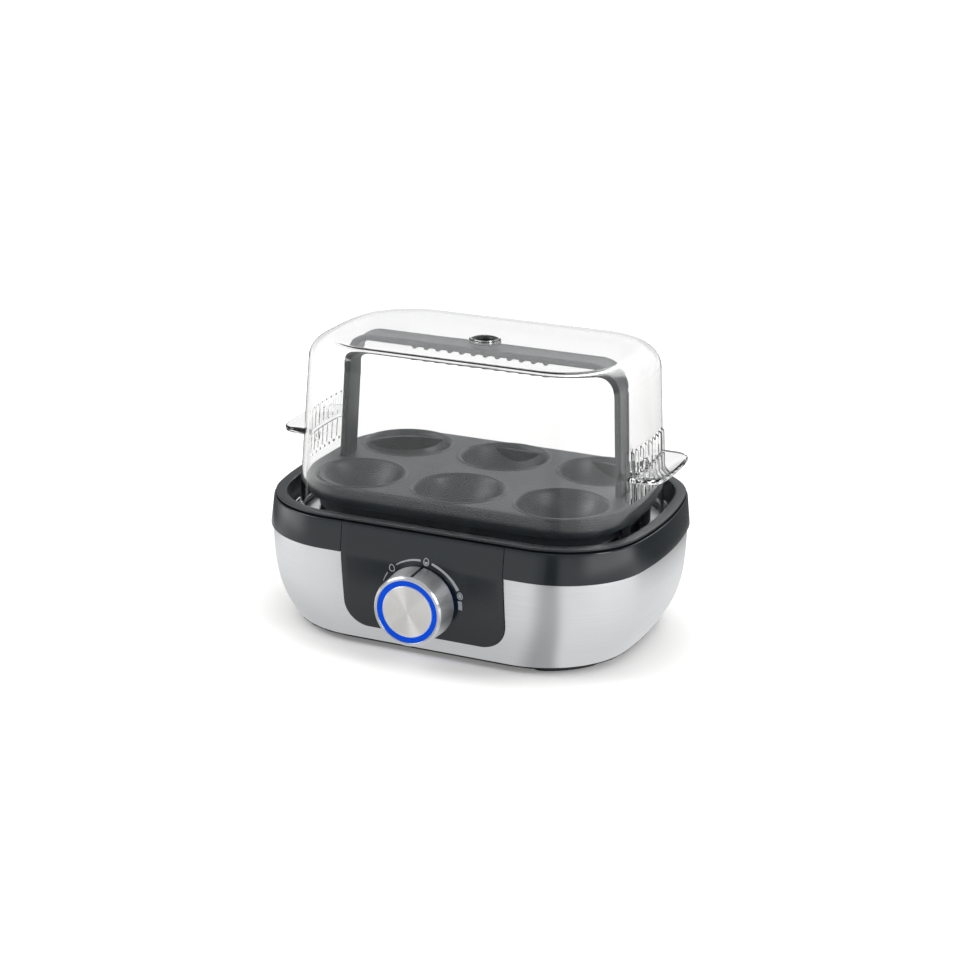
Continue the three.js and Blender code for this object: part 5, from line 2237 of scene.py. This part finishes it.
@dataclass(frozen=True)
class FloorSizes:
    """Where the floor's painted shadow and painted reflections lie, and how strong they
    are.

    Places are in metres, turns in radians from the front towards the right, and
    distances from the base in its own half lengths. A pair of pairs is where a patch
    fades in and out again.
    """

    paint: Point3 = (0.8, 0.79, 0.78)
    base: Point2 = (0.088, 0.064)
    through_hood: float = 0.56
    # Glow that the camera sees, lower close to the base: painted shadow round the base, on
    # top of the real one
    painted_shadow_lift: tuple[Point2, Point2] = ((0.95, 1.4), (0.16, 0.46))
    lift_far: tuple[Point2, Point2] = ((0.15, 0.9), (0.0, 0.6))
    # Painted shade in reflections close round the base
    near: Point2 = (1.0, 1.8)
    near_shade: tuple[Point2, Point2] = ((0.5, 0.9), (0.3, 0.12))
    # Painted dark patches in reflections off the front right corner, one soft and one crisp
    painted_patch: Point2 = (0.046, -0.01)
    painted_patch_soft: tuple[Point2, Point2] = ((-0.16, 0.16), (0.3, 0.48))
    painted_patch_soft_shade: float = 0.46
    painted_patch_crisp: tuple[Point2, Point2] = ((0.1, 0.15), (0.32, 0.37))
    painted_patch_crisp_shade: tuple[Point2, Point2] = ((0.17, 0.23), (0.0, 0.7))
    # Painted shade in reflections in front of the panel
    foot_slant: float = 0.424
    foot_across: tuple[Point2, Point2] = ((-0.03, -0.01), (0.05, 0.07))
    foot_ahead: tuple[Point2, Point2] = ((-0.18, -0.13), (-0.11, -0.097))
    foot_shade: float = 0.7
    # Painted shade in reflections off the left side
    left: Point2 = (0.15, 0.25)
    left_shade: tuple[Point2, Point2] = ((-1.8, -1.35), (0.8, 0.0))
    # Painted highlights in reflections far out at both sides
    side: Point2 = (0.25, 0.45)
    side_turn: tuple[Point2, Point2] = ((0.75, 1.1), (1.75, 2.05))
    painted_side_highlight: float = 1.3
    # Painted shade in reflections far behind
    rear: Point2 = (0.16, 0.22)
    rear_turn: Point2 = (1.8, 2.2)
    rear_shade: float = 0.85


class FloorPaint(NodeTree):
    """The floor's material: white to the camera, with painted reflections that only glossy
    rays see.
    """

    RISE = (0.0, 1.0)
    FALL = (1.0, 0.0)

    def __init__(self, sizes: FloorSizes = FloorSizes()) -> None:
        """Starts an empty material.

        Args:
            sizes: where the floor changes.
        """
        self.sizes = sizes
        self.made = bpy.data.materials.new("floor")
        self.made.use_nodes = True
        super().__init__(self.made.node_tree)
        place = self.node("ShaderNodeTexCoord").outputs["Object"]
        split = self.node("ShaderNodeSeparateXYZ", place)
        self.x, self.y = split.outputs["X"], split.outputs["Y"]

    def math(self, operation: str, first: Input, second: Input = 0.0) -> Socket:
        """Adds a math node.

        Args:
            operation: what it does.
            first: its first socket or number.
            second: its second one.

        Returns:
            Its value.
        """
        made = self.node("ShaderNodeMath", first, second)
        made.operation = operation
        return made.outputs[0]

    def ease(self, value: Socket, over: Point2, to: Point2) -> Socket:
        """Goes smoothly from one number to another.

        Args:
            value: what it depends on.
            over: where the value starts and ends the change.
            to: the numbers there.

        Returns:
            The changed value.
        """
        made = self.node("ShaderNodeMapRange", value, *over, *to)
        made.interpolation_type = "SMOOTHSTEP"
        return made.outputs["Result"]

    def between(self, value: Socket, ends: tuple[Point2, Point2]) -> Socket:
        """Rises to one over a range and falls back to zero over another."""
        up, down = (self.ease(value, *to) for to in zip(ends, (self.RISE, self.FALL)))
        return self.times(up, down)

    def times(self, *factors: Input) -> Socket:
        """Multiplies.

        Args:
            *factors: sockets and numbers, at least two.

        Returns:
            The product.
        """
        product = self.math("MULTIPLY", factors[0], factors[1])
        for factor in factors[2:]:
            product = self.math("MULTIPLY", product, factor)
        return product

    def reach(self, x: Socket, y: Socket, half: Point2 = (1.0, 1.0)) -> Socket:
        """Measures the distance from the middle.

        Args:
            x: place along X.
            y: place along Y.
            half: the lengths along X and Y that count as one.

        Returns:
            The distance.
        """
        along, across = self.math("DIVIDE", x, half[0]), self.math("DIVIDE", y, half[1])
        squares = self.math("ADD", self.times(along, along), self.times(across, across))
        return self.math("SQRT", squares)

    def turn(self, x: Socket, y: Socket) -> Socket:
        """The turn of a place from the front, positive to the right."""
        return self.math("ARCTAN2", x, self.math("SUBTRACT", 0.0, y))

    def glow(self, strength: Socket) -> Socket:
        """Adds white emission of a strength."""
        return self.node("ShaderNodeEmission", WHITE, strength).outputs["Emission"]

    def painted_shades(self) -> list[Socket]:
        """Makes the darker patches that glossy surfaces see: painted shade in their
        reflections.

        They lie close round the base, off the front right corner (one soft and one
        crisp), in front of the panel and off the left side.

        Returns:
            How much each patch takes away.
        """
        s, x, y = self.sizes, self.x, self.y
        turn, away = self.turn(x, y), self.reach(x, y)
        # Painted shade in reflections, seen only by glossy rays
        close = self.ease(self.reach(x, y, s.base), s.near, self.FALL)
        patch_x = self.math("SUBTRACT", x, s.painted_patch[0])
        patch_y = self.math("SUBTRACT", y, s.painted_patch[1])
        corner, gone = self.turn(patch_x, patch_y), self.reach(patch_x, patch_y)
        across = self.math("SUBTRACT", x, self.times(y, s.foot_slant))
        ahead = self.between(y, s.foot_ahead)
        return [
            self.times(close, self.ease(turn, *s.near_shade)),
            self.times(self.between(corner, s.painted_patch_soft), s.painted_patch_soft_shade),
            self.times(
                self.between(corner, s.painted_patch_crisp), self.ease(gone, *s.painted_patch_crisp_shade)
            ),
            self.times(self.between(across, s.foot_across), ahead, s.foot_shade),
            self.times(
                self.ease(turn, *s.left_shade), self.ease(away, s.left, self.RISE)
            ),
        ]

    def painted_reflection(self) -> Socket:
        """Makes what glossy surfaces see of the floor: a painted reflection, unlike what
        the camera sees.

        It has painted highlights far out at both sides, painted shade behind, and the
        painted darker patches on top.

        Returns:
            The floor's brightness in the painted reflection.
        """
        s, x, y = self.sizes, self.x, self.y
        turn, away = self.math("ABSOLUTE", self.turn(x, y)), self.reach(x, y)
        out = self.ease(away, s.side, self.RISE)
        # Painted highlights at both sides and painted shade behind, seen only by glossy
        # rays
        bright = self.times(self.between(turn, s.side_turn), out, s.painted_side_highlight)
        past = self.ease(away, s.rear, self.RISE)
        dark = self.times(self.ease(turn, s.rear_turn, self.RISE), past, s.rear_shade)
        level = self.math("SUBTRACT", self.math("ADD", 1.0, bright), dark)
        for shade in self.painted_shades():
            level = self.times(level, self.math("SUBTRACT", 1.0, shade))
        return level

    def build(self) -> bpy.types.Material:
        """Builds the material.

        Returns:
            The material.
        """
        s, path = self.sizes, self.node("ShaderNodeLightPath").outputs
        through = self.times(path["Is Transmission Ray"], s.through_hood)
        seen = self.math("MAXIMUM", path["Is Camera Ray"], through)
        # Less glow close to the base paints shadow round it
        close = self.ease(self.reach(self.x, self.y, s.base), *s.painted_shadow_lift)
        away = self.ease(self.reach(self.x, self.y), *s.lift_far)
        plain = self.node("ShaderNodeBsdfDiffuse", Color=(*s.paint, 1.0))
        lifted = self.glow(self.times(seen, self.math("ADD", close, away)))
        both = self.node("ShaderNodeAddShader", plain.outputs["BSDF"], lifted)
        glossy, hood = path["Is Glossy Ray"], path["Is Transmission Ray"]
        # Glossy rays that don't pass through the hood see the painted reflection instead of
        # the floor
        mirror = self.math("MAXIMUM", self.math("SUBTRACT", glossy, hood), 0.0)
        painted_reflection_glow = self.glow(self.painted_reflection())
        choice = self.node(
            "ShaderNodeMixShader", mirror, both.outputs["Shader"], painted_reflection_glow
        )
        self.node("ShaderNodeOutputMaterial", Surface=choice.outputs["Shader"])
        return self.made


@dataclass(frozen=True)
class SoftBox:
    """One lamp: its place and size in metres, and its watts."""

    name: str
    place: Point3
    size: Point2
    power: float


@dataclass
class Studio:
    """The camera, floor and soft lights."""

    camera: CameraSizes = CameraSizes()
    floor_half: float = 9.0
    ambient: float = 0.62
    horizon: Point3 = (0.5, 0.51, 0.53)
    bright_from: float = 0.9
    aim: Point3 = (0.0, 0.0, 0.06)
    lamps: tuple[SoftBox, ...] = (
        SoftBox("key", (-1.5, -0.6, 1.2), (1.1, 1.1), 16.0),
        SoftBox("side", (1.5, -0.35, 0.8), (0.5, 0.9), 11.0),
        SoftBox("back", (0.2, 1.5, 1.2), (1.4, 0.7), 7.0),
    )

    def place_camera(self) -> None:
        """Makes the camera at the photograph's viewpoint."""
        view = self.camera
        a, e = math.radians(view.azimuth), math.radians(view.elevation)
        back = Vector((math.sin(a) * math.cos(e), -math.cos(a) * math.cos(e), math.sin(e)))
        data = bpy.data.cameras.new("camera")
        data.lens, data.sensor_width = view.lens, view.sensor
        data.clip_start, data.clip_end = view.clip
        right = (-back).cross(Vector((0, 0, 1))).normalized()
        up = right.cross(-back)
        tilt = math.radians(view.roll)
        right_rolled = right * math.cos(tilt) + up * math.sin(tilt)
        up_rolled = up * math.cos(tilt) - right * math.sin(tilt)
        turn = Matrix((right_rolled, up_rolled, back)).transposed()
        place = Vector(view.target) * MM + back * view.distance * MM
        made = placed("camera", data)
        made.matrix_world = Matrix.Translation(place) @ turn.to_4x4()
        bpy.context.scene.camera = made

    def floor(self) -> None:
        """A pale floor that shows white to the camera and keeps the object's shadow,
        deepened by painted shadow close round the base; glossy surfaces see painted
        reflections in it.
        """
        half = self.floor_half
        signs = ((-1, -1), (1, -1), (1, 1), (-1, 1))
        mesh = bpy.data.meshes.new("floor")
        mesh.from_pydata([(x * half, y * half, 0) for x, y in signs], [], [(0, 1, 2, 3)])
        made = placed("floor", mesh)
        mesh.materials.append(FloorPaint().build())
        made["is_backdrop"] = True

    def world(self) -> None:
        """Soft light from all round, brighter above, and white where it is looked at."""
        made = bpy.data.worlds.new("studio")
        made.use_nodes = True
        tree = NodeTree(made.node_tree)
        place = tree.node("ShaderNodeTexCoord").outputs["Generated"]
        height = tree.node("ShaderNodeSeparateXYZ", place).outputs["Z"]
        ramp = tree.node("ShaderNodeValToRGB", height)
        low, high = ramp.color_ramp.elements
        low.position, low.color = 0.0, (*self.horizon, 1.0)
        high.position, high.color = self.bright_from, WHITE
        sky = tree.node("ShaderNodeBackground", ramp.outputs["Color"], self.ambient)
        white = tree.node("ShaderNodeBackground", WHITE)
        path = tree.node("ShaderNodeLightPath").outputs
        rays = path["Is Camera Ray"], path["Is Transmission Ray"]
        seen = tree.node("ShaderNodeMath", *rays)
        seen.operation = "MAXIMUM"
        skies = sky.outputs["Background"], white.outputs["Background"]
        mixed = tree.node("ShaderNodeMixShader", seen.outputs["Value"], *skies)
        tree.node("ShaderNodeOutputWorld", Surface=mixed.outputs["Shader"])
        bpy.context.scene.world = made

    def lamp(self, box: SoftBox) -> None:
        """Adds a soft box.

        Args:
            box: its place, size and power.
        """
        data = bpy.data.lights.new(box.name, "AREA")
        data.shape = "RECTANGLE"
        data.size, data.size_y = box.size
        data.energy = box.power
        made = placed(box.name, data)
        made.location = box.place
        way = Vector(self.aim) - Vector(box.place)
        made.rotation_mode = "QUATERNION"
        made.rotation_quaternion = way.to_track_quat("-Z", "Y")

    def build(self) -> None:
        """Builds the whole studio."""
        bpy.context.scene.view_settings.view_transform = "Standard"
        self.place_camera()
        self.floor()
        self.world()
        for box in self.lamps:
            self.lamp(box)


def corners(box: tuple[Vector, Vector]) -> list[list[float]]:
    """Turns a box into plain lists."""
    return [list(box[0]), list(box[1])]


def main() -> None:
    """Builds every sub-assembly around the frame and measures both boxes."""
    logging.basicConfig(level=logging.INFO, format="%(name)s: %(message)s")
    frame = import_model()
    cad_box = corners(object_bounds())
    repeater = Repeater()
    base = Base(repeater)
    base.build()
    Dial(base.panel.axis_height).build()
    DialPrint(base.body, base.panel.axis_height).build()
    Tray(repeater).build()
    Hood(repeater).build()
    LOG.info("%d nodes keep their shape", Carried().dress(frame["nodes"]))
    Studio().build()
    {"cad": cad_box, "visual": corners(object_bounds())}


if __name__ == "__main__":
    main()
